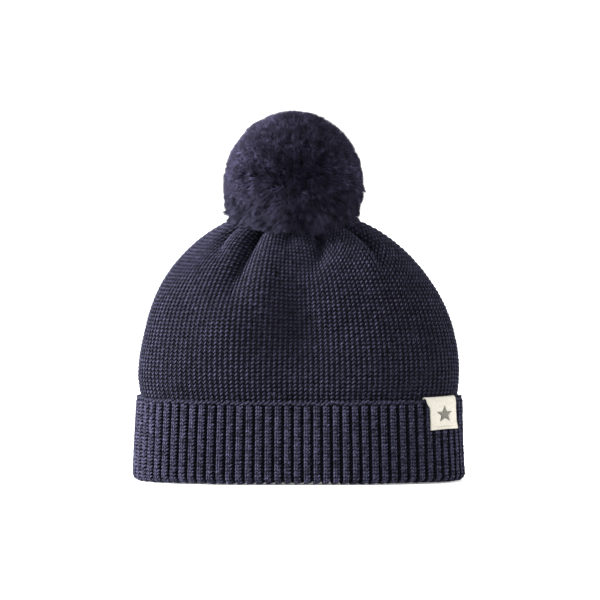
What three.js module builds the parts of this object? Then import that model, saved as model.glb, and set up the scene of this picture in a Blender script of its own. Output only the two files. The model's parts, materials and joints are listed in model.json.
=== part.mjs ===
// Pom pom beanie in millimetres, +Z up. The origin is the middle of the oval ring that the hat stands on,
// and the front of the hat faces -Y. A knitted crown is drawn together at the top by a yarn, a ribbed band
// under it is turned up into a cuff, a folded tab label hangs over the cuff's edge, a care label is caught
// in the back seam, and a pompom is tied through the gathered top to a knot inside.
import * as THREE from "three";

// Plan of the hat: a flattened oval, a superellipse whose half-depth is its half-width less FLATTENING.
const OVAL_POWER = 2.5;
const FLATTENING = 45;
const OVAL_SIDES = 60;
const SAMPLES_PER_SIDE = 40;

// Clear distance that touching pieces keep.
const GAP = 0.3;

// Crown: upright skirt behind the cuff, a small swell above it, a half-ellipsoid dome, then the gathered top.
const CROWN_THICKNESS = 2.2;
const CROWN_BOTTOM = 44;
const CROWN_WAIST_WIDTH = 85.6;
const CROWN_WAIST_TOP = 47.5;
const DOME_BASE = 62;
const DOME_WIDTH = 87.2;
const DOME_DEPTH = DOME_WIDTH - FLATTENING;
const DOME_HEIGHT = 88;
const DOME_END_ANGLE = THREE.MathUtils.degToRad(67.8);

// Gathered top: the fabric rolls over a rim and dips to the drawn hole, in soft pleats.
const GATHER_X = -3;
const GATHER_RIM = new THREE.Vector3(28.5, 12.4, 145.4);
const GATHER_DIP = new THREE.Vector3(14, 9.5, 143);
const HOLE_RADIUS = 4;
const HOLE_TOP = 137.5;
const PLEATS = 12;
const PLEAT_HEIGHT = 0.8;

// Ribbed band: the inner layer carries on down from the crown, the outer layer is the turned-up cuff.
const BAND_THICKNESS = 2.8;
const BAND_BOTTOM = 2.9;
const CUFF_BOTTOM_WIDTH = 91;
const CUFF_TOP_WIDTH = 89.3;
const CUFF_TOP_INNER_WIDTH = 86.9;
const CUFF_BOTTOM_INNER_WIDTH = 87.7;
const CUFF_TOP = 44.6;
const CUFF_ROUNDING = 1.5;
const FOLD_INNER_WIDTH = 83;
const FOLD_THICKNESS = 2.6;
const EDGE_CHAIN_RADIUS = 1.1;
const EDGE_CHAIN_WIDTH = 88;
const EDGE_CHAIN_HEIGHT = CUFF_TOP + GAP + EDGE_CHAIN_RADIUS;

// Tab label: a ribbon folded over the cuff's edge at the right of the front.
const LABEL_THICKNESS = 0.6;
const LABEL_LEFT_X = 72.5;
const LABEL_RIGHT_X = 86.9;
const LABEL_FRONT_BOTTOM = 30;
const LABEL_BACK_BOTTOM = 34;
const LABEL_STITCH_HEIGHT = 31.6;
const LABEL_STITCH_INSET = 0.8;
const LABEL_SIDES = 8;
const THREAD_RADIUS = 0.25;
const THREAD_SECTION_SIDES = 6;
const MOTIF_HEIGHT = 38.2;
const MOTIF_RADIUS = 4.6;
const MOTIF_INNER_RADIUS = 2;
const MOTIF_POINTS = 5;
const MOTIF_THICKNESS = 0.4;

// Back seam and care label, inside the hat.
const SEAM_RADIUS = 0.8;
const SEAM_BOTTOM = 6;
const SEAM_END_ANGLE = THREE.MathUtils.degToRad(58);
const CARE_LABEL_LENGTH = 24;
const CARE_LABEL_HEIGHT = 18;
const CARE_LABEL_THICKNESS = 0.5;
const CARE_HINGE = new THREE.Vector3(1.5, 38.1, 56);
const CARE_STITCH_INSET = 2.2;
const CARE_STITCH_MARGIN = 1;

// Pompom and its tie. The pivot is where the tie bends, just above the drawn hole.
const PIVOT_HEIGHT = 139.5;
const POMPOM_HALF_WIDTH = 39.5;
const POMPOM_HALF_DEPTH = 37;
const POMPOM_HALF_HEIGHT = 34;
const POMPOM_MIDDLE = 170;
const POMPOM_BORE_RADIUS = 5.2;
const POMPOM_BORE_TOP = 178;
const POMPOM_UNDERSIDE_BOTTOM = 143;
const POMPOM_UNDERSIDE_RIM_RADIUS = 34;
const POMPOM_UNDERSIDE_RIM_HEIGHT = 155.5;
const UNDERSIDE_RIM_ROUNDING = 1;
const UNDERSIDE_STEPS = 6;
const POMPOM_SIDES = 36;
const TIE_YARN_RADIUS = 0.6;
const TIE_STRAND_OFFSET = 0.75;
const BINDING_RADIUS = 3.4;
const BINDING_YARN_RADIUS = 0.9;
const BINDING_TURNS = 5;
const BINDING_PITCH = 2.3;
const NECK_WRAP_RADIUS = 3.3;
const NECK_WRAP_YARN_RADIUS = 0.7;
const SWIVEL_KNOT_RADIUS = 1.1;
const SWIVEL_KNOT_YARN_RADIUS = 0.5;
const ANCHOR_KNOT_RADIUS = 3.2;
const ANCHOR_KNOT_YARN_RADIUS = 1.1;
const ANCHOR_KNOT_HEIGHT = 130.4;
const GATHER_RING_RADIUS = 2.7;
const GATHER_YARN_RADIUS = 0.8;
const GATHER_RING_HEIGHT = HOLE_TOP - CROWN_THICKNESS / 2;
const GATHER_KNOT_RADIUS = 1.6;
const GATHER_KNOT_YARN_RADIUS = 0.6;
const GATHER_KNOT_OFFSET = 9.5;

// Yarn sections, and the reach and rise of a trefoil knot in its radii.
const YARN_SECTION_SIDES = 8;
const FINE_SECTION_SIDES = 6;
const RING_STEPS = 28;
const KNOT_STEPS = 36;
const KNOT_REACH = 1.5;
const KNOT_RISE = 0.5;

const MATERIALS = {
  crown: finish("knit_crown", 0x2a2a38, 0.92),
  rib: finish("rib_knit", 0x2d2d3c, 0.92),
  pile: finish("pompom_yarn", 0x2c2a3a, 0.95),
  yarn: finish("tie_yarn", 0x262635, 0.9),
  label: finish("label_ribbon", 0xeee9dd, 0.75),
  labelThread: finish("label_thread", 0xd8d2c2, 0.7),
  motif: finish("motif_thread", 0x84837a, 0.7),
  careLabel: finish("care_label_satin", 0xf2f0ea, 0.5),
};

function finish(name, color, roughness) {
  const material = new THREE.MeshStandardMaterial({ color, roughness, metalness: 0 });
  material.name = name;
  return material;
}

// Point of the oval at an angle: 0 is +X, a quarter turn is the back, minus a quarter turn is the front.
function ovalPoint(halfWidth, halfDepth, angle) {
  const along = Math.cos(angle);
  const across = Math.sin(angle);
  const power = 2 / OVAL_POWER;
  return new THREE.Vector2(
    Math.sign(along) * halfWidth * Math.abs(along) ** power,
    Math.sign(across) * halfDepth * Math.abs(across) ** power,
  );
}

// Angle at which the front of the oval has a given x.
function frontAngle(halfWidth, x) {
  return -Math.acos((x / halfWidth) ** (OVAL_POWER / 2));
}

// Angles that divide a stretch of the cuff's oval into equal lengths.
function evenAngles(from, to, count) {
  const samples = SAMPLES_PER_SIDE * count;
  const lengths = [0];
  let last = ovalPoint(CUFF_BOTTOM_WIDTH, CUFF_BOTTOM_WIDTH - FLATTENING, from);
  for (let i = 1; i <= samples; i++) {
    const angle = from + ((to - from) * i) / samples;
    const point = ovalPoint(CUFF_BOTTOM_WIDTH, CUFF_BOTTOM_WIDTH - FLATTENING, angle);
    lengths.push(lengths[i - 1] + point.distanceTo(last));
    last = point;
  }
  const angles = [];
  let sample = 0;
  for (let i = 0; i <= count; i++) {
    const wanted = (lengths[samples] * i) / count;
    while (sample < samples - 1 && lengths[sample + 1] < wanted) sample++;
    const part = (wanted - lengths[sample]) / (lengths[sample + 1] - lengths[sample]);
    angles.push(from + ((to - from) * (sample + part)) / samples);
  }
  return angles;
}

const ROUND_ANGLES = evenAngles(-Math.PI, Math.PI, OVAL_SIDES);

// Corner of a band's cross-section: half-width and height, with the half-depth and the pleat weight.
function corner(width, height, depth = width - FLATTENING, pleat = 0, shift = 0) {
  return { width, height, depth, pleat, shift };
}

// A band all the way round the hat, turned from a closed outline of corners and pressed to the oval.
function ovalBand(corners) {
  const outline = corners.map((c) => new THREE.Vector2(c.width, c.height));
  outline.push(outline[0]);
  const band = new THREE.LatheGeometry(outline, OVAL_SIDES);
  const position = band.getAttribute("position");
  for (let i = 0; i < position.count; i++) {
    const side = Math.floor(i / outline.length) % OVAL_SIDES;
    const c = corners[(i % outline.length) % corners.length];
    const point = ovalPoint(c.width, c.depth, ROUND_ANGLES[side]);
    const lift = c.pleat * Math.cos((2 * Math.PI * PLEATS * side) / OVAL_SIDES);
    position.setXYZ(i, point.x + c.shift, point.y, c.height + lift);
  }
  return band;
}

// A stretch of band between two angles: a closed outline of (width, height) extruded round the oval.
function ovalStretch(shape, angles) {
  const steps = angles.length - 1;
  const options = { depth: steps, steps, curveSegments: 6, bevelEnabled: false };
  const solid = new THREE.ExtrudeGeometry(shape, options);
  const position = solid.getAttribute("position");
  for (let i = 0; i < position.count; i++) {
    const width = position.getX(i);
    const point = ovalPoint(width, width - FLATTENING, angles[Math.round(position.getZ(i))]);
    position.setXYZ(i, point.x, point.y, position.getY(i));
  }
  return solid;
}

// Round yarn along an open curve.
function yarnAlong(curve, radius, steps, sides = YARN_SECTION_SIDES) {
  const section = new THREE.Shape();
  for (let i = 0; i < sides; i++) {
    const angle = (2 * Math.PI * i) / sides;
    const move = i ? "lineTo" : "moveTo";
    section[move](radius * Math.cos(angle), radius * Math.sin(angle));
  }
  return new THREE.ExtrudeGeometry(section, { extrudePath: curve, steps, bevelEnabled: false });
}

function piece(name, geometry, material) {
  const mesh = new THREE.Mesh(geometry, material);
  mesh.name = name;
  return mesh;
}

// Outer (thickness 0) or inner corners of the crown, from the bottom edge up to the drawn hole.
function crownCorners(thickness) {
  const waist = CROWN_WAIST_WIDTH - thickness;
  const corners = [corner(waist, CROWN_BOTTOM), corner(waist, CROWN_WAIST_TOP)];
  const swellSteps = 3;
  for (let i = 1; i < swellSteps; i++) {
    const rise = i / swellSteps;
    const width = waist + (DOME_WIDTH - CROWN_WAIST_WIDTH) * Math.sin((rise * Math.PI) / 2);
    corners.push(corner(width, THREE.MathUtils.lerp(CROWN_WAIST_TOP, DOME_BASE, rise)));
  }
  const domeSteps = 8;
  for (let i = 0; i <= domeSteps; i++) {
    const angle = (DOME_END_ANGLE * i) / domeSteps;
    const width = (DOME_WIDTH - thickness) * Math.cos(angle);
    const depth = (DOME_DEPTH - thickness) * Math.cos(angle);
    const height = DOME_BASE + (DOME_HEIGHT - thickness) * Math.sin(angle);
    const rise = i / domeSteps;
    corners.push(corner(width, height, depth, PLEAT_HEIGHT * rise ** 3, GATHER_X * rise ** 2));
  }
  return [...corners, ...gatherCorners(thickness)];
}

// The rim of the gathered top and its dip to the hole: x is the width, y the depth and z the height.
function gatherCorners(thickness) {
  const dip = new THREE.CubicBezierCurve3(
    new THREE.Vector3(
      DOME_WIDTH * Math.cos(DOME_END_ANGLE),
      DOME_DEPTH * Math.cos(DOME_END_ANGLE),
      DOME_BASE + DOME_HEIGHT * Math.sin(DOME_END_ANGLE),
    ),
    GATHER_RIM,
    GATHER_DIP,
    new THREE.Vector3(HOLE_RADIUS, HOLE_RADIUS, HOLE_TOP),
  );
  const steps = 6;
  const corners = [];
  for (let i = 1; i <= steps; i++) {
    const point = dip.getPoint(i / steps);
    const pleat = PLEAT_HEIGHT * (1 - i / steps);
    corners.push(corner(point.x, point.z - thickness, point.y, pleat, GATHER_X));
  }
  return corners;
}

function crownShell() {
  const outer = crownCorners(0);
  const inner = crownCorners(CROWN_THICKNESS).reverse();
  return piece("crown_shell", ovalBand([...outer, ...inner]), MATERIALS.crown);
}

// Inner layer of the ribbed band, upright between the fold and the crown.
function bandInnerLayer() {
  const outer = CROWN_WAIST_WIDTH;
  const inner = outer - BAND_THICKNESS;
  const top = CROWN_BOTTOM - GAP;
  const corners = [
    corner(outer, BAND_BOTTOM),
    corner(outer, top),
    corner(inner, top),
    corner(inner, BAND_BOTTOM),
  ];
  return piece("band_inner_layer", ovalBand(corners), MATERIALS.rib);
}

// Outer layer of the band: the turned-up cuff with the fold that the hat stands on.
function cuffOuterLayer() {
  const foldTop = FOLD_THICKNESS;
  const bevel = CUFF_ROUNDING / 2;
  const corners = [
    corner(FOLD_INNER_WIDTH + CUFF_ROUNDING, 0),
    corner(CUFF_BOTTOM_WIDTH - CUFF_ROUNDING, 0),
    corner(CUFF_BOTTOM_WIDTH - bevel / 2, bevel / 2),
    corner(CUFF_BOTTOM_WIDTH, CUFF_ROUNDING),
    corner(CUFF_TOP_WIDTH, CUFF_TOP - bevel),
    corner(CUFF_TOP_WIDTH - bevel, CUFF_TOP),
    corner(CUFF_TOP_INNER_WIDTH + bevel / 2, CUFF_TOP),
    corner(CUFF_TOP_INNER_WIDTH, CUFF_TOP - bevel),
    corner(CUFF_BOTTOM_INNER_WIDTH, foldTop + CUFF_ROUNDING),
    corner(CUFF_BOTTOM_INNER_WIDTH - CUFF_ROUNDING, foldTop),
    corner(FOLD_INNER_WIDTH + bevel, foldTop),
    corner(FOLD_INNER_WIDTH, foldTop - bevel),
    corner(FOLD_INNER_WIDTH, bevel),
  ];
  return piece("cuff_outer_layer", ovalBand(corners), MATERIALS.rib);
}

// Cast-off chain of loops that finishes the cuff's upper edge.
function cuffEdgeChain() {
  const sides = 6;
  const corners = [];
  for (let i = 0; i < sides; i++) {
    const angle = (2 * Math.PI * i) / sides;
    const width = EDGE_CHAIN_WIDTH + EDGE_CHAIN_RADIUS * Math.cos(angle);
    corners.push(corner(width, EDGE_CHAIN_HEIGHT + EDGE_CHAIN_RADIUS * Math.sin(angle)));
  }
  return piece("cuff_edge_chain", ovalBand(corners), MATERIALS.rib);
}

// Width of the cuff's outer face at a height.
function cuffFace(height) {
  return THREE.MathUtils.lerp(CUFF_BOTTOM_WIDTH, CUFF_TOP_WIDTH, height / CUFF_TOP);
}

// Angles between the tab label's left and right edges.
function labelAngles(count, inset = 0) {
  const left = frontAngle(CUFF_TOP_WIDTH, LABEL_LEFT_X + inset);
  const right = frontAngle(CUFF_TOP_WIDTH, LABEL_RIGHT_X - inset);
  return evenAngles(left, right, count);
}

// Ribbon folded over the edge chain: a long leg in front and a shorter one between the two layers.
function sideLabel() {
  const frontTop = cuffFace(CUFF_TOP) + GAP;
  const frontBottom = cuffFace(LABEL_FRONT_BOTTOM) + GAP;
  const innerBend = EDGE_CHAIN_RADIUS + GAP;
  const outerBend = innerBend + LABEL_THICKNESS;
  const back = EDGE_CHAIN_WIDTH - innerBend;
  const shape = new THREE.Shape();
  shape.moveTo(frontBottom, LABEL_FRONT_BOTTOM);
  shape.lineTo(frontBottom + LABEL_THICKNESS, LABEL_FRONT_BOTTOM);
  shape.lineTo(frontTop + LABEL_THICKNESS, CUFF_TOP);
  shape.absarc(EDGE_CHAIN_WIDTH, EDGE_CHAIN_HEIGHT, outerBend, 0, Math.PI);
  shape.lineTo(back - LABEL_THICKNESS, LABEL_BACK_BOTTOM);
  shape.lineTo(back, LABEL_BACK_BOTTOM);
  shape.absarc(EDGE_CHAIN_WIDTH, EDGE_CHAIN_HEIGHT, innerBend, Math.PI, 0, true);
  shape.lineTo(frontTop, CUFF_TOP);
  return piece("side_label", ovalStretch(shape, labelAngles(LABEL_SIDES).reverse()), MATERIALS.label);
}

// Point on the front of the tab label, a distance out from its face.
function labelPoint(angle, height, out) {
  const width = cuffFace(height) + GAP + LABEL_THICKNESS + out;
  const point = ovalPoint(width, width - FLATTENING, angle);
  return new THREE.Vector3(point.x, point.y, height);
}

// Row of sewing along the lower edge of the tab label.
function sideLabelStitching() {
  const out = GAP + THREAD_RADIUS;
  const angles = labelAngles(LABEL_SIDES, LABEL_STITCH_INSET);
  const route = angles.map((angle) => labelPoint(angle, LABEL_STITCH_HEIGHT, out));
  const curve = new THREE.CatmullRomCurve3(route);
  const thread = yarnAlong(curve, THREAD_RADIUS, 2 * LABEL_SIDES, THREAD_SECTION_SIDES);
  return piece("side_label_stitching", thread, MATERIALS.labelThread);
}

// A plain star worked in thread, lying on the face of the tab label.
function sideLabelMotif() {
  const angles = labelAngles(2);
  const base = labelPoint(angles[1], MOTIF_HEIGHT, GAP);
  const along = labelPoint(angles[2], MOTIF_HEIGHT, GAP).sub(labelPoint(angles[0], MOTIF_HEIGHT, GAP));
  const up = labelPoint(angles[1], MOTIF_HEIGHT + 1, GAP).sub(labelPoint(angles[1], MOTIF_HEIGHT, GAP));
  const out = new THREE.Vector3().crossVectors(along, up).normalize();
  const side = new THREE.Vector3().crossVectors(up, out).normalize();
  const outline = new THREE.Shape();
  for (let i = 0; i < 2 * MOTIF_POINTS; i++) {
    const radius = i % 2 ? MOTIF_INNER_RADIUS : MOTIF_RADIUS;
    const angle = Math.PI / 2 + (Math.PI * i) / MOTIF_POINTS;
    const move = i ? "lineTo" : "moveTo";
    outline[move](radius * Math.cos(angle), radius * Math.sin(angle));
  }
  const star = new THREE.ExtrudeGeometry(outline, { depth: MOTIF_THICKNESS, bevelEnabled: false });
  const motif = piece("side_label_motif", star, MATERIALS.motif);
  motif.quaternion.setFromRotationMatrix(
    new THREE.Matrix4().makeBasis(side, up.clone().normalize(), out),
  );
  motif.position.copy(base).addScaledVector(out, MOTIF_THICKNESS);
  return motif;
}

// Yarn that closes the back seam, on the inside of the band and the crown.
function backSeamThread() {
  const inward = GAP + SEAM_RADIUS;
  const bandDepth = CROWN_WAIST_WIDTH - BAND_THICKNESS - FLATTENING - inward;
  const waistDepth = CROWN_WAIST_WIDTH - CROWN_THICKNESS - FLATTENING - inward;
  const route = [
    new THREE.Vector3(0, bandDepth, SEAM_BOTTOM),
    new THREE.Vector3(0, bandDepth, CROWN_BOTTOM / 2),
    new THREE.Vector3(0, bandDepth, CROWN_BOTTOM - SEAM_RADIUS),
    new THREE.Vector3(0, waistDepth - GAP, CROWN_WAIST_TOP),
  ];
  const domeSteps = 10;
  for (let i = 0; i <= domeSteps; i++) {
    const angle = (SEAM_END_ANGLE * i) / domeSteps;
    const depth = (DOME_DEPTH - CROWN_THICKNESS - inward) * Math.cos(angle);
    const height = DOME_BASE + (DOME_HEIGHT - CROWN_THICKNESS - 2 * inward) * Math.sin(angle);
    route.push(new THREE.Vector3(0, depth, height));
  }
  const curve = new THREE.CatmullRomCurve3(route, false, "centripetal");
  const thread = yarnAlong(curve, SEAM_RADIUS, 3 * route.length);
  return piece("back_seam_thread", thread, MATERIALS.yarn);
}

// Care label, built with its sewn edge on the hinge line.
function careLabel() {
  const box = new THREE.BoxGeometry(CARE_LABEL_LENGTH, CARE_LABEL_THICKNESS, CARE_LABEL_HEIGHT);
  const label = piece("care_label", box, MATERIALS.careLabel);
  label.position.set(CARE_LABEL_LENGTH / 2, 0, CARE_LABEL_HEIGHT / 2);
  return label;
}

function careLabelStitching() {
  const y = -(CARE_LABEL_THICKNESS / 2 + GAP + THREAD_RADIUS);
  const route = new THREE.LineCurve3(
    new THREE.Vector3(CARE_STITCH_INSET, y, CARE_STITCH_MARGIN),
    new THREE.Vector3(CARE_STITCH_INSET, y, CARE_LABEL_HEIGHT - CARE_STITCH_MARGIN),
  );
  const thread = yarnAlong(route, THREAD_RADIUS, 4, THREAD_SECTION_SIDES);
  return piece("care_label_stitching", thread, MATERIALS.labelThread);
}

// A closed ring of yarn lying level.
function yarnRing(name, radius, yarnRadius) {
  const ring = new THREE.TorusGeometry(radius, yarnRadius, YARN_SECTION_SIDES, RING_STEPS);
  return piece(name, ring, MATERIALS.yarn);
}

// An overhand knot: a closed trefoil of yarn.
function yarnKnot(name, radius, yarnRadius) {
  const knot = new THREE.TorusKnotGeometry(radius, yarnRadius, KNOT_STEPS, FINE_SECTION_SIDES);
  return piece(name, knot, MATERIALS.yarn);
}

// One of the two strands of the tie between the knot inside and the drawn hole.
function tieStrand(name, x) {
  const anchorTop = ANCHOR_KNOT_HEIGHT + KNOT_RISE * ANCHOR_KNOT_RADIUS + ANCHOR_KNOT_YARN_RADIUS;
  const swivelBottom = PIVOT_HEIGHT - KNOT_REACH * SWIVEL_KNOT_RADIUS - SWIVEL_KNOT_YARN_RADIUS;
  const bottom = anchorTop + GAP;
  const top = swivelBottom - GAP;
  const strand = new THREE.CylinderGeometry(
    TIE_YARN_RADIUS,
    TIE_YARN_RADIUS,
    top - bottom,
    YARN_SECTION_SIDES,
  );
  strand.rotateX(Math.PI / 2);
  const mesh = piece(name, strand, MATERIALS.yarn);
  mesh.position.set(x, 0, (top + bottom) / 2);
  return mesh;
}

// Tight turns of tie yarn that bind the middle of the pompom.
function pompomBinding() {
  const pointsPerTurn = 10;
  const steps = pointsPerTurn * BINDING_TURNS;
  const bottom = POMPOM_MIDDLE - (BINDING_TURNS * BINDING_PITCH) / 2 - PIVOT_HEIGHT;
  const route = [];
  for (let i = 0; i <= steps; i++) {
    const turn = i / pointsPerTurn;
    const x = BINDING_RADIUS * Math.cos(2 * Math.PI * turn);
    const y = BINDING_RADIUS * Math.sin(2 * Math.PI * turn);
    route.push(new THREE.Vector3(x, y, bottom + BINDING_PITCH * turn));
  }
  const curve = new THREE.CatmullRomCurve3(route);
  const coil = yarnAlong(curve, BINDING_YARN_RADIUS, steps, FINE_SECTION_SIDES);
  return piece("pompom_binding", coil, MATERIALS.yarn);
}

// The tie's loop, from just above the pivot up through the binding.
function pompomTieLoop() {
  const bottom = POMPOM_UNDERSIDE_BOTTOM - PIVOT_HEIGHT;
  const top = POMPOM_MIDDLE - PIVOT_HEIGHT;
  const bend = new THREE.CatmullRomCurve3([
    new THREE.Vector3(-TIE_STRAND_OFFSET, 0, bottom),
    new THREE.Vector3(-TIE_STRAND_OFFSET, 0, (bottom + top) / 2),
    new THREE.Vector3(-TIE_STRAND_OFFSET, 0, top),
    new THREE.Vector3(0, 0, top + TIE_STRAND_OFFSET),
    new THREE.Vector3(TIE_STRAND_OFFSET, 0, top),
    new THREE.Vector3(TIE_STRAND_OFFSET, 0, (bottom + top) / 2),
    new THREE.Vector3(TIE_STRAND_OFFSET, 0, bottom),
  ]);
  const steps = 40;
  const loop = yarnAlong(bend, TIE_YARN_RADIUS, steps, FINE_SECTION_SIDES);
  return piece("pompom_tie_loop", loop, MATERIALS.yarn);
}

// The ball of cut yarn, a little wider than deep, with a hollowed underside that lets it lean over the
// crown and a bore for its tie.
function pompomPile() {
  const bottom = POMPOM_UNDERSIDE_BOTTOM - PIVOT_HEIGHT;
  const middle = POMPOM_MIDDLE - PIVOT_HEIGHT;
  const rim = POMPOM_UNDERSIDE_RIM_HEIGHT - PIVOT_HEIGHT;
  const underside = new THREE.QuadraticBezierCurve(
    new THREE.Vector2(POMPOM_BORE_RADIUS, bottom),
    new THREE.Vector2(POMPOM_UNDERSIDE_RIM_RADIUS / 2, rim),
    new THREE.Vector2(POMPOM_UNDERSIDE_RIM_RADIUS, rim),
  );
  const outline = [
    new THREE.Vector2(0, POMPOM_BORE_TOP - PIVOT_HEIGHT),
    new THREE.Vector2(POMPOM_BORE_RADIUS, POMPOM_BORE_TOP - PIVOT_HEIGHT),
    ...underside.getPoints(UNDERSIDE_STEPS),
  ];
  const steps = 13;
  const start = Math.asin((rim + UNDERSIDE_RIM_ROUNDING - middle) / POMPOM_HALF_HEIGHT);
  for (let i = 0; i <= steps; i++) {
    const angle = THREE.MathUtils.lerp(start, Math.PI / 2, i / steps);
    const radius = i < steps ? POMPOM_HALF_WIDTH * Math.cos(angle) : 0;
    outline.push(new THREE.Vector2(radius, middle + POMPOM_HALF_HEIGHT * Math.sin(angle)));
  }
  const ball = new THREE.LatheGeometry(outline, POMPOM_SIDES);
  ball.rotateX(Math.PI / 2);
  ball.scale(1, POMPOM_HALF_DEPTH / POMPOM_HALF_WIDTH, 1);
  return piece("pompom_pile", ball, MATERIALS.pile);
}

function group(x, y, z, ...members) {
  const made = new THREE.Group();
  made.position.set(x, y, z);
  made.add(...members);
  return made;
}

function moved(mesh, x, y, z) {
  mesh.position.set(x, y, z);
  return mesh;
}

// The pompom and its tie, about the point where the tie bends.
const pompom = group(
  GATHER_X,
  0,
  PIVOT_HEIGHT,
  yarnRing("tie_neck_wrap", NECK_WRAP_RADIUS, NECK_WRAP_YARN_RADIUS),
  yarnKnot("tie_swivel_knot", SWIVEL_KNOT_RADIUS, SWIVEL_KNOT_YARN_RADIUS),
  pompomBinding(),
  pompomTieLoop(),
  pompomPile(),
);

// What closes the crown and holds the pompom from inside.
const gather = group(
  GATHER_X,
  0,
  0,
  moved(yarnRing("gather_yarn", GATHER_RING_RADIUS, GATHER_YARN_RADIUS), 0, 0, GATHER_RING_HEIGHT),
  moved(
    yarnKnot("gather_yarn_knot", GATHER_KNOT_RADIUS, GATHER_KNOT_YARN_RADIUS),
    GATHER_KNOT_OFFSET,
    0,
    ANCHOR_KNOT_HEIGHT + ANCHOR_KNOT_RADIUS,
  ),
  moved(
    yarnKnot("pompom_anchor_knot", ANCHOR_KNOT_RADIUS, ANCHOR_KNOT_YARN_RADIUS),
    0,
    0,
    ANCHOR_KNOT_HEIGHT,
  ),
  tieStrand("tie_strand_left", -TIE_STRAND_OFFSET),
  tieStrand("tie_strand_right", TIE_STRAND_OFFSET),
);

const cuff = group(
  0,
  0,
  0,
  cuffOuterLayer(),
  cuffEdgeChain(),
  sideLabel(),
  sideLabelStitching(),
  sideLabelMotif(),
);

const careTag = group(...CARE_HINGE.toArray(), careLabel(), careLabelStitching());

const hat = new THREE.Group();
hat.name = "pom_pom_beanie";
hat.add(crownShell(), bandInnerLayer(), backSeamThread(), gather, cuff, careTag, pompom);

export default hat;
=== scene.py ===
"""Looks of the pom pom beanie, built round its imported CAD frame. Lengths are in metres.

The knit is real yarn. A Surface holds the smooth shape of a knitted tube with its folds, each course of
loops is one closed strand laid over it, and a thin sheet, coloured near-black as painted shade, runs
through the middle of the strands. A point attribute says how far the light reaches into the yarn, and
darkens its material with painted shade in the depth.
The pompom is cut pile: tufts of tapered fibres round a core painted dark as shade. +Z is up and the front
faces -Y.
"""
import json
import math
from collections import namedtuple

import bpy
import numpy as np
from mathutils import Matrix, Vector


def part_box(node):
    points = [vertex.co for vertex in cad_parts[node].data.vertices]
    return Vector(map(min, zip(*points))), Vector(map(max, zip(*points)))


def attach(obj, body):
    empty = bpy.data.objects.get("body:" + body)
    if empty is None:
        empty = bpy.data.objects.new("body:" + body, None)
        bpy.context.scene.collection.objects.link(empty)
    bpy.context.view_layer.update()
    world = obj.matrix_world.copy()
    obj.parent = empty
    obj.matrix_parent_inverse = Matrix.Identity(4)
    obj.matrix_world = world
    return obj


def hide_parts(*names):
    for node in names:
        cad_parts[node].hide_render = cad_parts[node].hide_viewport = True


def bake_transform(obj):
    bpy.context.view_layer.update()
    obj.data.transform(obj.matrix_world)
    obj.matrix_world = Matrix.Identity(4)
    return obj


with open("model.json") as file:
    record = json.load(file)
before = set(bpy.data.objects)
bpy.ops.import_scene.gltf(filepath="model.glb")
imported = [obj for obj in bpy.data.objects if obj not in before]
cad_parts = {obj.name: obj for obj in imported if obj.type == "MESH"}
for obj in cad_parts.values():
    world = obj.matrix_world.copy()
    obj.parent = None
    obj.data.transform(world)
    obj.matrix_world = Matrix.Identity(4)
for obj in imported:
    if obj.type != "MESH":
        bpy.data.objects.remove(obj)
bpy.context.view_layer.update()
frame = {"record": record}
MM = 0.001
TURN = 2 * math.pi
BACK = 0.75
random = np.random.default_rng(20)
UV_NAME = "OFBake"
UV_MARGIN = 0.1
PAINTED_LIGHT = "painted_light"

# Places taken from the frame.
crown_low, crown_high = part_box("crown_shell")
band_low, band_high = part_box("band_inner_layer")
_, cuff_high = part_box("cuff_outer_layer")
chain_low, chain_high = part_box("cuff_edge_chain")
gather_low, gather_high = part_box("gather_yarn")
TIE_X = (gather_low.x + gather_high.x) / 2
CHAIN_HEIGHT = (chain_low.z + chain_high.z) / 2
CHAIN_RADIUS = (chain_high.z - chain_low.z) / 2
CHAIN_WIDTH = chain_high.x - CHAIN_RADIUS

# Plan of the hat: a superellipse whose half-depth is its half-width less FLATTENING.
OVAL_POWER = 2.5
FLATTENING = crown_high.x - crown_high.y

# Yarn of a knit: its radius, the share of it that is lost where it is tucked behind the next loop, the
# painted shade there, in depth, how much that varies from loop to loop, how far loops stand out of
# place, and from which depth in the fabric to which the light reaches the yarn; deeper than that its
# colour is darkened with painted shade.
Yarn = namedtuple("Yarn", "radius tuck shadow fleck uneven open")
YARN_PLUMP = 1.12

# Crown: stockinette, in wales round it and courses up it.
WALES = 150
COURSE = 2.1 * MM
CROWN_YARN = Yarn(0.52 * MM, 0.34, 1.2 * MM, 0.16 * MM, 0.07 * MM, (-0.4 * MM, 1.2 * MM))
CROWN_INSET = 1.35 * MM
SWELL_TOP = 62 * MM
DOME_RISE = 88 * MM
DOME_END = math.radians(67.8)
GATHER_RIM = (28.5 * MM, 12.4 * MM, 145.4 * MM)
GATHER_DIP = (14 * MM, 9.5 * MM, 143 * MM)
HOLE_RADIUS = 4 * MM

# Band: one knit wale and one purl wale to a rib, on both layers.
RIBS = 86
RIB_COURSE = 1.9 * MM
RIB_YARN = Yarn(0.5 * MM, 0.45, 2.4 * MM, 0.45 * MM, 0.12 * MM, (-1.2 * MM, 1.8 * MM))
RIB_DEPTH = 1.2 * MM
RIB_PLUMP = 1.6
KNIT_SHARE = 0.6
CUFF_INSET = 1.75 * MM
BAND_INSET = 1.4 * MM


# ---------------------------------------------------------------- meshes

YARN_SIDES = 6
PLIES = 2
# Where the plies of a yarn lie and how thick they are, as shares of the yarn's radius.
PLY_OFFSET = 0.48
PLY_RADIUS = 0.56


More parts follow.
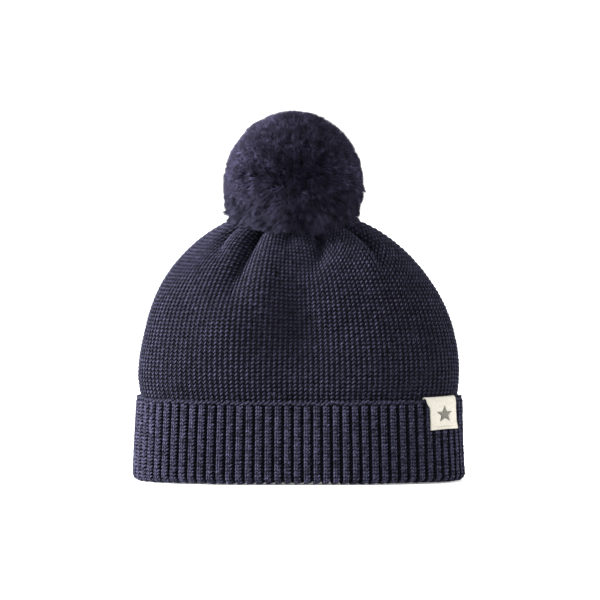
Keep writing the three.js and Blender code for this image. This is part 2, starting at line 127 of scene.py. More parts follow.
def add_mesh(name, points, faces, uvs=None, painted_light=None):
    """A smooth object from an (n, 3) array of points and a list of index arrays, one for each face size."""
    mesh = bpy.data.meshes.new(name)
    corners = np.concatenate([f.reshape(-1) for f in faces]).astype(np.int32)
    sizes = np.concatenate([np.full(len(f), f.shape[1]) for f in faces])
    starts = np.concatenate([[0], np.cumsum(sizes)[:-1]]).astype(np.int32)
    mesh.vertices.add(len(points))
    mesh.vertices.foreach_set("co", np.ascontiguousarray(points, np.float32).reshape(-1))
    mesh.loops.add(len(corners))
    mesh.loops.foreach_set("vertex_index", corners)
    mesh.polygons.add(len(sizes))
    mesh.polygons.foreach_set("loop_start", starts)
    if uvs is not None:
        layer = mesh.uv_layers.new(name=UV_NAME)
        flat = np.concatenate([u.reshape(-1, 2) for u in uvs]).astype(np.float32)
        layer.data.foreach_set("uv", flat.reshape(-1))
    # The share of light that reaches each point, which the materials turn into painted shade.
    if painted_light is not None:
        layer = mesh.attributes.new(PAINTED_LIGHT, "FLOAT", "POINT")
        layer.data.foreach_set("value", np.ascontiguousarray(painted_light, np.float32))
    mesh.update(calc_edges=True)
    mesh.validate()
    mesh.shade_smooth()
    made = bpy.data.objects.new(name, mesh)
    bpy.context.scene.collection.objects.link(made)
    return made


def scatter(*shape):
    return random.standard_normal(shape)


def unit(vectors):
    return vectors / np.maximum(np.linalg.norm(vectors, axis=-1, keepdims=True), 1e-12)


def smoothstep(low, high, value):
    t = np.clip((value - low) / (high - low), 0, 1)
    return t * t * (3 - 2 * t)


def turned(radius, angle, height):
    """Points at a distance from the Z axis, an angle round it and a height."""
    return np.stack([radius * np.cos(angle), radius * np.sin(angle), height], -1)


def travelled(path):
    """How far along a path each of its points lies."""
    return np.concatenate([[0], np.cumsum(np.linalg.norm(np.diff(path, axis=0), axis=1))])


def cells(rows, columns, round_rows=False, round_columns=False):
    """The corners of each cell of a grid of points, and their places in UV, from 0 to 1 over the grid."""
    steps, spans = rows - (not round_rows), columns - (not round_columns)
    row, column = np.meshgrid(np.arange(steps), np.arange(spans), indexing="ij")
    above, beside = (row + 1) % rows, (column + 1) % columns
    corners = [(row, column), (row, beside), (above, beside), (above, column)]
    u = np.stack([column, column + 1, column + 1, column], -1) / spans
    v = np.stack([row, row, row + 1, row + 1], -1) / steps
    quads = np.stack([r * columns + c for r, c in corners], -1).reshape(-1, 4)
    return quads, np.stack([u, v], -1).reshape(-1, 4, 2)


def turned_over(corners):
    """The same faces seen from behind, each still starting at its first corner."""
    return np.roll(corners[:, ::-1], 1, 1)


def strands(name, centres, normals, radius, sides, closed, depth=None, span=(0, 1)):
    """Rows of round yarn as one mesh: centres and normals are (rows, points, 3), radius is (rows, points).
    With the depth of each centre in the fabric, span says from where to where the light reaches it, and so
    where its colour gets painted shade."""
    rows, count = centres.shape[:2]
    if closed:
        tangent = np.roll(centres, -1, 1) - np.roll(centres, 1, 1)
    else:
        tangent = np.gradient(centres, axis=1)
    tangent = unit(tangent)
    across = unit(np.cross(tangent, normals))
    out = np.cross(across, tangent)
    angle = np.arange(sides) * TURN / sides
    radius = np.broadcast_to(radius, (rows, count))[:, :, None, None]
    ring = across[:, :, None] * np.cos(angle)[:, None] + out[:, :, None] * np.sin(angle)[:, None]
    points = (centres[:, :, None] + radius * ring).reshape(-1, 3)
    quads, places = (turned_over(part) for part in cells(count, sides, closed, True))
    row = np.arange(rows)[:, None, None]
    u = places[..., 1] + 0 * row
    v = (row + UV_MARGIN + (1 - 2 * UV_MARGIN) * places[..., 0]) / rows
    faces = [(quads + row * count * sides).reshape(-1, 4)]
    uvs = [np.stack([u, v], -1)]
    if not closed:
        first = np.arange(rows)[:, None] * count * sides + np.arange(sides)
        last = first[:, ::-1] + (count - 1) * sides
        faces.append(np.concatenate([first, last]))
        uvs.append(np.zeros((2 * rows, sides, 2)))
    # Painted shade: a point deeper in the fabric, or on the yarn's inner side, gets less light in its
    # colour.
    painted_light = None
    if depth is not None:
        level = np.broadcast_to(depth, (rows, count))[..., None] + (radius * np.sin(angle)[:, None])[..., 0]
        painted_light = np.clip((level - span[0]) / (span[1] - span[0]), 0, 1).reshape(-1)
    return add_mesh(name, points, faces, uvs, painted_light=painted_light)


def turning_frame(path):
    """Normals along an open path that turn as little as they can."""
    tangent = unit(np.gradient(path, axis=0))
    start = np.cross(tangent[0], (0.3, 0.2, 1.0))
    normals = [unit(start)]
    for t in tangent[1:]:
        last = normals[-1]
        normals.append(unit(last - t * np.dot(last, t)))
    return np.array(normals)


def plied_yarn(name, path, radius, pitch):
    """Plies twisted round an open path as one mesh, rounded off at both ends."""
    path = np.asarray(path, float)
    normals = turning_frame(path)
    tangent = unit(np.gradient(path, axis=0))
    across = np.cross(tangent, normals)
    length = travelled(path)
    rows = []
    for ply in range(PLIES):
        angle = TURN * (length / pitch + ply / PLIES)
        offset = normals * np.cos(angle)[:, None] + across * np.sin(angle)[:, None]
        rows.append(path + PLY_OFFSET * radius * offset)
    ends = np.minimum(1, 0.25 + np.minimum(length, length[-1] - length) / radius)
    ply_radius = PLY_RADIUS * radius * np.sqrt(ends)
    return strands(name, np.array(rows), np.array([normals] * PLIES), ply_radius, YARN_SIDES, False)


# ---------------------------------------------------------------- surfaces of the knitted tubes

def oval(width, depth, angle):
    """Points of the hat's oval at a half-width and a half-depth."""
    x, y = (np.sign(c) * np.abs(c) ** (2 / OVAL_POWER) for c in (np.cos(angle), np.sin(angle)))
    return np.stack([width * x, depth * y], -1)


def evenly(ring, count):
    """Points at even steps along a closed ring in plan, and its length."""
    reach = travelled(ring)
    wanted = reach[-1] * np.arange(count) / count
    return np.stack([np.interp(wanted, reach, ring[:, k]) for k in range(2)], 1), reach[-1]


class Surface:
    """A tube of fabric: points and outward normals at u turns round it and v metres up it.
    u is 0 at -X, a quarter at the front, a half at +X and three quarters at the back."""

    COLUMNS = 16 * RIBS
    STEP = 0.5 * MM

    def __init__(self, profile, relief):
        profile = np.asarray(profile, float)
        reach = travelled(profile[:, 1:3])
        self.length = reach[-1]
        self.rows = int(self.length / self.STEP) + 1
        self.v = np.linspace(0, self.length, self.rows)
        level = np.stack([np.interp(self.v, reach, profile[:, k]) for k in range(4)], 1)
        angle = np.linspace(-math.pi, math.pi, 2 * self.COLUMNS + 1)
        grid = np.empty((self.rows, self.COLUMNS, 3))
        self.girth = np.empty(self.rows)
        for i, (width, depth, height, shift) in enumerate(level):
            grid[i, :, :2], self.girth[i] = evenly(oval(width, depth, angle), self.COLUMNS)
            grid[i, :, 0] += shift
            grid[i, :, 2] = height
        self.level = level
        u = np.arange(self.COLUMNS) / self.COLUMNS
        push = relief(u[None, :], self.v[:, None], self)
        self.grid = grid + self.facing(grid) * push[..., None]
        self.normal = self.facing(self.grid)

    @staticmethod
    def facing(grid):
        round_it = np.roll(grid, -1, 1) - np.roll(grid, 1, 1)
        return unit(np.cross(round_it, np.gradient(grid, axis=0)))

    def at(self, u, v):
        column = (np.asarray(u) % 1) * self.COLUMNS
        row = np.clip(np.asarray(v) / self.length * (self.rows - 1), 0, self.rows - 1.0001)
        c0, r0 = column.astype(int) % self.COLUMNS, row.astype(int)
        c1 = (c0 + 1) % self.COLUMNS
        fc, fr = (column % 1)[..., None], (row % 1)[..., None]

        def blend(values):
            low = values[r0, c0] * (1 - fc) + values[r0, c1] * fc
            high = values[r0 + 1, c0] * (1 - fc) + values[r0 + 1, c1] * fc
            return low * (1 - fr) + high * fr

        return blend(self.grid), unit(blend(self.normal))


def bezier(points, count):
    t = np.linspace(0, 1, count)[:, None]
    a, b, c, d = (np.array(p, float) for p in points)
    return (1 - t) ** 3 * a + 3 * (1 - t) ** 2 * t * b + 3 * (1 - t) * t**2 * c + t**3 * d


def crown_profile():
    """Half-width, half-depth, height and sideways shift, from inside the cuff up to the drawn hole."""
    waist = band_high.x
    rows = [(waist, waist - FLATTENING, crown_low.z, 0)]
    for t in np.linspace(0, 1, 12):
        width = waist + (crown_high.x - waist) * math.sin(t * math.pi / 2)
        rows.append((width, width - FLATTENING, chain_high.z + (SWELL_TOP - chain_high.z) * t, 0))
    for t in np.linspace(0, 1, 40)[1:]:
        across, up = math.cos(DOME_END * t), math.sin(DOME_END * t)
        height = SWELL_TOP + DOME_RISE * up
        rows.append((crown_high.x * across, crown_high.y * across, height, TIE_X * t * t))
    end = rows[-1][:3]
    hole = (HOLE_RADIUS, HOLE_RADIUS, gather_high.z)
    for width, depth, height in bezier((end, GATHER_RIM, GATHER_DIP, hole), 30)[1:]:
        rows.append((width, depth, height, TIE_X))
    return rows


# Folds that the gathering makes: place round the hat near the top and lower down, the height where
# each fades out, its half-width and its depth.
FRONT_FOLDS = (
    (0.085, 0.115, 116 * MM, 2.6 * MM, 4.2 * MM),
    (0.160, 0.152, 82 * MM, 4.2 * MM, 10.5 * MM),
    (0.235, 0.232, 122 * MM, 2.4 * MM, 3.0 * MM),
    (0.306, 0.262, 102 * MM, 5.2 * MM, 10.0 * MM),
    (0.400, 0.370, 92 * MM, 3.0 * MM, 5.6 * MM),
)
# Where the slack front lies hollow, or full where the depth is below 0: place round the hat, height,
# half-width, half-height and depth.
FRONT_HOLLOWS = (
    (0.256, 74 * MM, 24 * MM, 20 * MM, 5.5 * MM),
    (0.248, 91 * MM, 9 * MM, 16 * MM, 4.2 * MM),
    (0.158, 90 * MM, 15 * MM, 18 * MM, -4.0 * MM),
    (0.196, 107 * MM, 8 * MM, 14 * MM, -2.4 * MM),
    (0.376, 117 * MM, 11 * MM, 15 * MM, -3.6 * MM),
)
BACK_FOLDS = 8
FOLD_TOP = 139 * MM


def folds():
    """The front folds, and irregular ones round the sides and the back."""
    made = list(FRONT_FOLDS)
    for i in range(BACK_FOLDS):
        place = 0.5 + 0.5 * (i + 0.5 + random.uniform(-0.22, 0.22)) / BACK_FOLDS
        drift = random.uniform(-0.018, 0.018)
        fade = random.uniform(98, 118) * MM
        width, depth = random.uniform(2.3, 3.2) * MM, random.uniform(2.4, 3.8) * MM
        made.append((place, place + drift, fade, width, depth))
    return made


def valley(u, place, girth, width):
    """1 in the bottom of a fold and 0 away from it, with a sharp bottom and soft shoulders."""
    away = np.abs((u - place + 0.5) % 1 - 0.5) * girth / width
    return np.exp(-(away**1.5))


# Where along the crown's end the folds run out on the drawn rim, how much wider they spread below, and
# where the waist's fullness and the broad unevenness of the slack cloth begin and end.
RIM_RUN_OUT = (24 * MM, 3 * MM)
FOLD_SPREAD = 1.4
RIM_SHARE = 0.75
WAIST_FULL = (50 * MM, 84 * MM)
BROAD_RISE = (84 * MM, 128 * MM)
BROAD_DEPTH, WAIST_DEPTH, SLACK_DEPTH = 0.9 * MM, 1.3 * MM, 0.45 * MM
SEAM_WIDTH = 1.6 * MM
CROWN_SEAM, BAND_SEAM = 0.5 * MM, 0.4 * MM
SLACK_TOP = 60 * MM


def crown_relief(u, v, surface):
    """How far the crown stands out from its smooth profile."""
    height = surface.level[:, 2][:, None]
    girth = surface.girth[:, None]
    start, end = (surface.length - short for short in RIM_RUN_OUT)
    past_rim = smoothstep(start, end, v)
    push = np.full((surface.rows, surface.COLUMNS), -CROWN_INSET)
    for top, low, fade, width, depth in folds():
        rise = smoothstep(fade, FOLD_TOP, height)
        place = low + (top - low) * rise
        spread = width * (1 + FOLD_SPREAD * (1 - rise))
        push = push - depth * rise * (1 - RIM_SHARE * past_rim) * valley(u, place, girth, spread)
    for place, level, width, rise, depth in FRONT_HOLLOWS:
        push = push - depth * np.exp(-(((u - place) * girth / width) ** 2) - ((height - level) / rise) ** 2)
    broad = smoothstep(*BROAD_RISE, height) * (1 - past_rim)
    push = push + BROAD_DEPTH * broad * np.sin(TURN * (7 * u + 0.18) + 1.1 * np.sin(TURN * 3 * u + 0.6))
    push = push + WAIST_DEPTH * (1 - smoothstep(*WAIST_FULL, height))
    slack = smoothstep(crown_low.z, SLACK_TOP, height)
    push = push + SLACK_DEPTH * slack * np.sin(TURN * 5 * u + 46 * v + 0.8) * np.cos(TURN * 2 * u - 60 * v)
    return push - CROWN_SEAM * valley(u, BACK, girth, SEAM_WIDTH)


def rib_wave(u):
    """Height of the ribs over their middle: 1 on a rib, below 0 between ribs."""
    phase = (np.asarray(u) * RIBS) % 1
    middle = math.cos(math.pi * KNIT_SHARE)
    wave = (np.cos(TURN * (phase - KNIT_SHARE / 2)) - middle) / (1 - middle)
    return np.tanh(RIB_PLUMP * wave) / math.tanh(RIB_PLUMP)


def flat_relief(inset):
    """The relief of a layer that lies inset metres inside its profile, with a little sway and the seam."""
    def relief(u, v, surface):
        girth = surface.girth[:, None]
        sway = 0.3 * MM * np.sin(TURN * 3 * u + 70 * v) * np.sin(TURN * 4 * u + 1.3)
        return -inset + sway - BAND_SEAM * valley(u, BACK, girth, SEAM_WIDTH)
    return relief


def band_profile():
    """The inner layer of the band, upright."""
    return [(band_high.x, band_high.y, band_low.z, 0), (band_high.x, band_high.y, band_high.z, 0)]


FOLD_HALF_THICKNESS = 3.4 * MM
FOOT_WIDTH = 84.2 * MM
FOOT_LIFT = 0.7 * MM
# How far the cuff's face stands out past the CAD chain at its upper edge.
CHAIN_PROUD = 0.2 * MM


def cuff_profile():
    """The cuff from its foot under the inner layer, round the fold and up its outer face."""
    outer = cuff_high.x
    rows = [(FOOT_WIDTH - 1.2 * MM, 2.9 * MM), (FOOT_WIDTH - 0.4 * MM, FOOT_LIFT + 0.7 * MM)]
    rows += [(FOOT_WIDTH + 1.2 * MM, FOOT_LIFT), (outer - FOLD_HALF_THICKNESS, FOOT_LIFT)]
    for angle in np.linspace(0, 1, 9)[1:] * math.pi / 2:
        width = outer - FOLD_HALF_THICKNESS * (1 - math.sin(angle))
        rows.append((width, FOOT_LIFT + FOLD_HALF_THICKNESS * (1 - math.cos(angle))))
    rows.append((chain_high.x + CHAIN_PROUD, chain_low.z))
    return [(width, width - FLATTENING, height, 0) for width, height in rows]


# ---------------------------------------------------------------- stitches

LOOP_POINTS = 10
LOOP_PHASE = (np.arange(LOOP_POINTS) + 0.5) * TURN / LOOP_POINTS
# How far a loop swings out over its neighbours, in loops, how far it bows out of the fabric, how far its
# head stands before its foot, and how high it is, in courses.
KNIT_SWING, PURL_SWING = 0.27, 0.2
LOOP_BOW = 0.5 * MM
CROWN_TIP, RIB_TIP = 0.35 * MM, 0.25 * MM
CROWN_RISE, RIB_RISE = 0.68, 0.66


def loop_turns(swing, lean):
    """How far along its course a loop has come at each phase, in loops."""
    t = LOOP_PHASE
    return t / TURN + swing * (1 - lean * np.sin(t)) * np.sin(2 * t)


def stockinette():
    """A course of plain knit loops: the place of each point round the tube, and for one repeat how far the
    yarn rises, how far it lies out of the surface, and its phase in the loop."""
    t = LOOP_PHASE
    u = (np.arange(WALES)[:, None] + loop_turns(KNIT_SWING, 0.5)).reshape(-1) / WALES
    depth = -LOOP_BOW * np.cos(2 * t) - CROWN_TIP * np.sin(t)
    return u, -CROWN_RISE * COURSE * np.cos(t), depth, t


def rib_stitch(way=1):
    """A course that knits one wale and purls the next, as above. Way is -1 on the cuff, which is turned
    over: its stitches stand on their heads."""
    knit = KNIT_SHARE * loop_turns(KNIT_SWING, 0.4)
    purl = KNIT_SHARE + (1 - KNIT_SHARE) * loop_turns(PURL_SWING, 0)
    across = np.concatenate([knit, purl])
    u = way * (np.arange(RIBS)[:, None] + across).reshape(-1) / RIBS
    phase = np.tile(LOOP_PHASE, 2)
    wave = rib_wave(way * across / RIBS)
    face = np.clip(3 * wave, -1, 1)
    depth = RIB_DEPTH * wave - LOOP_BOW * face * np.cos(2 * phase) - RIB_TIP * face * np.sin(phase)
    return u, -RIB_RISE * way * RIB_COURSE * np.cos(phase), depth, phase


def courses(name, surface, stitch, yarn, first, last, pitch, groups):
    """A stretch of knitting as a few objects of whole courses, small enough to export untouched."""
    u, lift, depth, phase = stitch
    tucked = np.abs(np.cos(phase))
    radius = yarn.radius * (YARN_PLUMP - yarn.tuck * tucked**2)
    # Painted shade: the yarn counts as yarn.shadow deeper where it is tucked behind the next loop.
    layout = np.array([lift, depth, depth - yarn.shadow * tucked, radius])
    lift, depth, light, radius = np.tile(layout, len(u) // len(phase))
    loops = len(u) // LOOP_POINTS
    made = []
    for i, part in enumerate(np.array_split(np.arange(first, last, pitch), groups)):
        centres, normals = [], []
        for start in part:
            wander, swell = yarn.uneven * scatter(2, loops).repeat(LOOP_POINTS, axis=1)
            points, facing = surface.at(u, start + lift + wander)
            centres.append(points + facing * (depth + 0.8 * swell)[:, None])
            normals.append(facing)
        seen = light + yarn.fleck * scatter(len(part), loops).repeat(LOOP_POINTS, axis=1)
        course = (np.array(centres), np.array(normals), radius, YARN_SIDES, True, seen, yarn.open)
        made.append(strands(f"{name}_{i + 1}", *course))
    return made


def shade_sheet(name, surface, first, last, outer, thickness, ribbed=False, columns=None, rows=None):
    """The thin closed sheet in the middle of the yarn, from v first to v last, which shows painted shade
    between the strands.
    """
    columns = columns or (8 * RIBS if ribbed else 3 * WALES)
    rows = rows or max(2, int((last - first) / (1.6 * MM)))
    u, v = np.meshgrid(np.arange(columns) / columns, np.linspace(first, last, rows))
    points, normals = surface.at(u, v)
    push = outer + (RIB_DEPTH * rib_wave(u) if ribbed else 0 * u)
    front = points + normals * push[..., None]
    back = points + normals * (push - thickness)[..., None]
    loop = np.concatenate([front, back[::-1]])
    quads, uvs = cells(2 * rows, columns, True, True)
    return add_mesh(name, loop.reshape(-1, 3), [quads], [uvs])


# ---------------------------------------------------------------- materials

class Nodes:
    """A material's node tree with short calls for the nodes that these materials use."""

    def __init__(self, name):
        self.material = bpy.data.materials.new(name)
        self.material.use_nodes = True
        self.tree = self.material.node_tree
        self.shader = self.tree.nodes["Principled BSDF"]

    def feed(self, node, inputs):
        """Links outputs of other nodes to a node's sockets, or sets the sockets' own values."""
        for key, value in inputs.items():
            if isinstance(value, bpy.types.NodeSocket):
                self.tree.links.new(value, node.inputs[key])
            else:
                node.inputs[key].default_value = value

    def add(self, kind, operation=None, **inputs):
        node = self.tree.nodes.new(kind)
        if operation:
            node.operation = operation
        self.feed(node, inputs)
        return node

    def math(self, operation, a, b=0.0):
        node = self.add("ShaderNodeMath", operation)
        self.feed(node, {0: a, 1: b})
        return node.outputs[0]

    def sine(self, angle):
        return self.math("SINE", angle)

    def total(self, *terms):
        """The sum of sockets, each with its weight."""
        made = [value if weight == 1 else self.math("MULTIPLY", value, weight) for value, weight in terms]
        return self.math("ADD", *made)

    def noise(self, scale, detail):
        place = self.add("ShaderNodeTexCoord").outputs["Object"]
        node = self.add("ShaderNodeTexNoise", Vector=place, Scale=scale, Detail=detail)
        return node.outputs["Fac"]

    def shades(self, factor, colour, *stops):
        """Shades of one colour: each stop is a place on the ramp and a share of the colour."""
        node = self.add("ShaderNodeValToRGB", Fac=factor)
        ramp = node.color_ramp
        while len(ramp.elements) < len(stops):
            ramp.elements.new(0.5)
        for element, (position, share) in zip(ramp.elements, stops):
            element.position = position
            element.color = (*np.clip(np.asarray(colour) * share, 0, 1), 1)
        return node.outputs["Color"]

    def between(self, factor, low, high):
        inputs = {"Value": factor, "To Min": low, "To Max": high}
        return self.add("ShaderNodeMapRange", **inputs).outputs["Result"]

    # The point attribute for painted shade: 1 where the light reaches, less in the depth.
    def painted_light(self):
        node = self.tree.nodes.new("ShaderNodeAttribute")
        node.attribute_name = PAINTED_LIGHT
        return node.outputs["Fac"]

    def shaded(self, colour, painted_light, deep):
        """The colour as it is where light reaches it, darkened as painted shade down to a share of it in
        the depth.
        """
        share = self.between(painted_light, deep, 1.0)
        return self.add("ShaderNodeVectorMath", "SCALE", Vector=colour, Scale=share).outputs[0]

    def uv(self):
        node = self.tree.nodes.new("ShaderNodeUVMap")
        node.uv_map = UV_NAME
        split = self.add("ShaderNodeSeparateXYZ", Vector=node.outputs["UV"])
        return split.outputs["X"], split.outputs["Y"]

    def surface(self, colour, roughness, height=None, distance=0.0, strength=0.6):
        self.feed(self.shader, {"Base Color": colour, "Roughness": roughness})
        if height is not None:
            bump = self.add("ShaderNodeBump", Height=height, Distance=distance, Strength=strength)
            self.feed(self.shader, {"Normal": bump.outputs["Normal"]})

    def glossed(self, sheen, roughness, tone, specular):
        """The material, with its sheen and its shine."""
        gloss = {"Sheen Weight": sheen, "Sheen Roughness": roughness, "Sheen Tint": (*tone, 1)}
        self.feed(self.shader, {**gloss, "Specular IOR Level": specular})
        return self.material


# What the studio light makes of the record's colours: pale cloth is toned down and yarn cooled a little.
RIBBON_TONE = np.array((0.42, 0.42, 0.41))
THREAD_TONE = 0.5
COOL = np.array((0.98, 0.98, 1.05))


def slot_colour(name):
    for material in frame["record"]["materials"]:
        if material["slot"] == name:
            return np.array(material["base_color"], float)
    raise KeyError(name)


def yarn_material(name, slot, twists=0, rows=1, brighten=1.0, deep=1.0):
    """Matt plied wool: mottled, with painted light and shade on the crests and grooves of the plies, and a
    twist in the bump.
    A strand has so many twists and its mesh so many rows; deep is the share of the colour left in painted
    shade."""
    nodes = Nodes(name)
    base = slot_colour(slot) * brighten * COOL
    patches = nodes.noise(55.0, 2.0)
    specks = nodes.noise(1000.0, 4.0)
    mixed = nodes.total((patches, 0.12), (specks, 0.88))
    height = specks
    if twists:
        u, v = nodes.uv()
        ply = nodes.sine(nodes.total((u, TURN * twists), (v, 2.5 * TURN * rows)))
        # Painted light and shade: the colour follows the twist of the plies, lighter on their crests.
        mixed = nodes.total((mixed, 1), (ply, 0.07))
        height = nodes.total((specks, 0.5), (ply, 0.5))
    colour = nodes.shades(mixed, base, (0.32, 0.45), (0.5, 1.0), (0.68, 2.2))
    # Painted shade in the depth of the fabric.
    if deep < 1:
        reach = nodes.painted_light()
        colour = nodes.shaded(colour, nodes.math("MULTIPLY", reach, reach), deep)
    nodes.surface(colour, nodes.between(specks, 0.82, 0.96), height, 0.12 * MM, 0.5)
    return nodes.glossed(0.04, 0.55, (0.42, 0.45, 0.8), 0.05)


def painted_shade_material(name, slot):
    """Painted shade: a near-black tone of the colour, for the depth between the strands, the pompom's core
    and the fold lining.
    """
    nodes = Nodes(name)
    fibres = nodes.noise(1800.0, 4.0)
    colour = nodes.shades(fibres, slot_colour(slot), (0.35, 0.1), (0.7, 0.28))
    nodes.surface(colour, nodes.between(fibres, 0.9, 1.0), fibres, 0.1 * MM)
    return nodes.glossed(0.02, 0.6, (0.4, 0.4, 0.6), 0.03)


def pile_material(name, slot, brighten):
    """Cut pile: every fibre has its own random tone, carried with painted shade in its point attribute,
    darker at its root than at its tip.
    """
    nodes = Nodes(name)
    base = slot_colour(slot) * brighten * COOL
    tufts = nodes.noise(360.0, 3.0)
    fine = nodes.noise(2200.0, 2.0)
    mixed = nodes.total((tufts, 0.5), (fine, 0.5))
    colour = nodes.shades(mixed, base, (0.3, 0.4), (0.5, 1.0), (0.66, 2.4))
    colour = nodes.shaded(colour, nodes.painted_light(), 0.1)
    nodes.surface(colour, nodes.between(fine, 0.75, 0.95))
    return nodes.glossed(0.02, 0.5, (0.42, 0.48, 0.8), 0.05)


def ribbon_material(name, slot, ends=2600.0, picks=2600.0, shine=0.1):
    """Woven ribbon: crossing ends and picks in the bump, a faint fleck in the colour."""
    nodes = Nodes(name)
    base = slot_colour(slot) * RIBBON_TONE
    u, v = nodes.uv()
    warp = nodes.sine(nodes.math("MULTIPLY", u, ends))
    weft = nodes.sine(nodes.math("MULTIPLY", v, picks))
    weave = nodes.math("MULTIPLY", warp, weft)
    fleck = nodes.noise(900.0, 4.0)
    mixed = nodes.total((fleck, 1), (weave, 0.06))
    colour = nodes.shades(mixed, base, (0.3, 0.86), (0.55, 1.0), (0.75, 1.06))
    height = nodes.total((weave, 1), (fleck, 1))
    nodes.surface(colour, nodes.between(fleck, 0.7, 0.9), height, 0.08 * MM, 0.7)
    return nodes.glossed(0.06, 0.4, (0.9, 0.88, 0.8), shine)


def thread_material(name, slot):
    """Sewing thread with a slight twist."""
    nodes = Nodes(name)
    base = slot_colour(slot) * THREAD_TONE
    u, v = nodes.uv()
    ply = nodes.sine(nodes.total((u, 60), (v, 40)))
    fine = nodes.noise(2500.0, 3.0)
    # Painted light and shade: the colour follows the twist, lighter on the crests of the plies.
    mixed = nodes.total((fine, 1), (ply, 0.1))
    colour = nodes.shades(mixed, base, (0.3, 0.75), (0.7, 1.15))
    nodes.surface(colour, nodes.between(fine, 0.6, 0.85), mixed, 0.05 * MM)
    return nodes.glossed(0.05, 0.4, (0.8, 0.8, 0.8), 0.15)


def dress(pieces, material, body):
    """Gives pieces their material and body."""
    for piece in pieces:
        piece.data.materials.append(material)
        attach(piece, body)


# ---------------------------------------------------------------- camera, floor and light

def look_at(thing, target):
    thing.rotation_euler = (Vector(target) - thing.location).to_track_quat("-Z", "Y").to_euler()


CAMERA_AIM = Vector((0.5 * MM, 0, 98.7 * MM))
CAMERA_DISTANCE = 2.6
CAMERA_RISE = math.radians(1.7)
VIEW_WIDTH = 328.5 * MM
SENSOR_WIDTH = 36


def camera():
    """A long lens that takes in VIEW_WIDTH at the middle of the hat."""
    away = Vector((0, -math.cos(CAMERA_RISE), math.sin(CAMERA_RISE)))
    made = bpy.data.objects.new("camera", bpy.data.cameras.new("camera"))
    made.location = CAMERA_AIM + CAMERA_DISTANCE * away
    made.data.sensor_width = SENSOR_WIDTH
    made.data.lens = SENSOR_WIDTH * CAMERA_DISTANCE / VIEW_WIDTH
    look_at(made, CAMERA_AIM)
    bpy.context.scene.collection.objects.link(made)
    bpy.context.scene.camera = made


# The floor is mid grey round the hat, which throws little light back up, and white beyond.
FLOOR_SHADES = ((0.0, 0.62), (1.0, 0.98))
FLOOR_PALE_FROM, FLOOR_PALE_TO = 0.3, 2.4
FLOOR_GLOW = 0.25


def floor():
    """A pale round floor that rises in one curve to a wall far behind every view. To the camera alone it
    shows itself a little brighter, so that the hat's faint shadow is lost in the white."""
    radius, bend, wall, sides = 3.2, 0.9, 2.6, 96
    arc = [(math.sin(a), 1 - math.cos(a)) for a in np.linspace(0, math.pi / 2, 12)]
    profile = [(0.6, 0), *((radius + bend * out, bend * up) for out, up in arc), (radius + bend, wall)]
    angle = np.arange(sides) * TURN / sides
    points = np.concatenate([turned(r, angle, np.full(sides, z)) for r, z in profile])
    quads = turned_over(cells(len(profile), sides, round_columns=True)[0])
    made = add_mesh("floor", points, [np.arange(sides)[None, :], quads])
    nodes = Nodes("floor_paper")
    place = nodes.add("ShaderNodeTexCoord").outputs["Object"]
    away = nodes.add("ShaderNodeVectorMath", "LENGTH", Vector=place)
    stretch = {"Value": away.outputs["Value"], "From Min": FLOOR_PALE_FROM, "From Max": FLOOR_PALE_TO}
    distance = nodes.add("ShaderNodeMapRange", **stretch)
    grain = nodes.total((distance.outputs["Result"], 1), (nodes.noise(6.0, 2.0), 0.05))
    nodes.surface(nodes.shades(grain, (1, 1, 1), *FLOOR_SHADES), nodes.between(grain, 0.9, 1.0))
    seen = nodes.add("ShaderNodeLightPath").outputs["Is Camera Ray"]
    glow = {"Emission Color": (1, 1, 1, 1), "Emission Strength": nodes.math("MULTIPLY", seen, FLOOR_GLOW)}
    nodes.feed(nodes.shader, {"Specular IOR Level": 0.0, **glow})
    made.data.materials.append(nodes.material)
    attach(made, "cuff")


# Round soft lights that face the hat: place, size and power. The key and side lights stand low and
# beside the hat, which leaves its front the darkest, as in the photo.
LIGHTS = {
    "key_light": ((-1.75, -0.36, 0.72), 0.8, 300),
    "side_light": ((1.75, -0.3, 0.7), 0.8, 42),
    "top_light": ((-0.3, 0.5, 2.0), 1.4, 14),
}
LIGHTS_AIM = (0, 0, 90 * MM)


def studio():
    world = bpy.data.worlds.new("studio")
    bpy.context.scene.world = world
    world.use_nodes = True
    background = world.node_tree.nodes["Background"]
    background.inputs["Color"].default_value = (1, 1, 1, 1)
    background.inputs["Strength"].default_value = 1.0
    for name, (place, size, power) in LIGHTS.items():
        data = bpy.data.lights.new(name, "AREA")
        data.shape = "DISK"
        data.size = size
        data.energy = power
        light = bpy.data.objects.new(name, data)
        light.location = place
        look_at(light, LIGHTS_AIM)
        bpy.context.scene.collection.objects.link(light)
    bpy.context.scene.view_settings.view_transform = "Standard"


camera()
floor()
studio()

# ---------------------------------------------------------------- ribbons, label and thread

def ribbon(name, centres, thickness):
    """A closed ribbon from a (rows, columns, 3) grid of its middle. Its face is on the side of columns x
    rows and takes the left half of the UV square, and its back the right half."""
    rows, columns = centres.shape[:2]
    normal = unit(np.cross(np.gradient(centres, axis=1), np.gradient(centres, axis=0)))
    push = normal * np.broadcast_to(thickness, (rows, columns))[..., None] / 2
    points = np.concatenate([centres + push, centres - push]).reshape(-1, 3)
    face, uvs = cells(rows, columns)
    back = face[:, ::-1] + rows * columns
    rim = np.concatenate([
        np.arange(columns - 1),
        np.arange(rows - 1) * columns + columns - 1,
        (rows - 1) * columns + np.arange(columns - 1, 0, -1),
        np.arange(rows - 1, 0, -1) * columns,
    ])
    ahead = np.roll(rim, -1)
    side = np.stack([rim, rim + rows * columns, ahead + rows * columns, ahead], -1)
    front_uv = uvs * (0.48, 1)
    back_uv = front_uv[:, ::-1] + (0.51, 0)
    return add_mesh(name, points, [face, back, side], [front_uv, back_uv, np.zeros((len(side), 4, 2))])


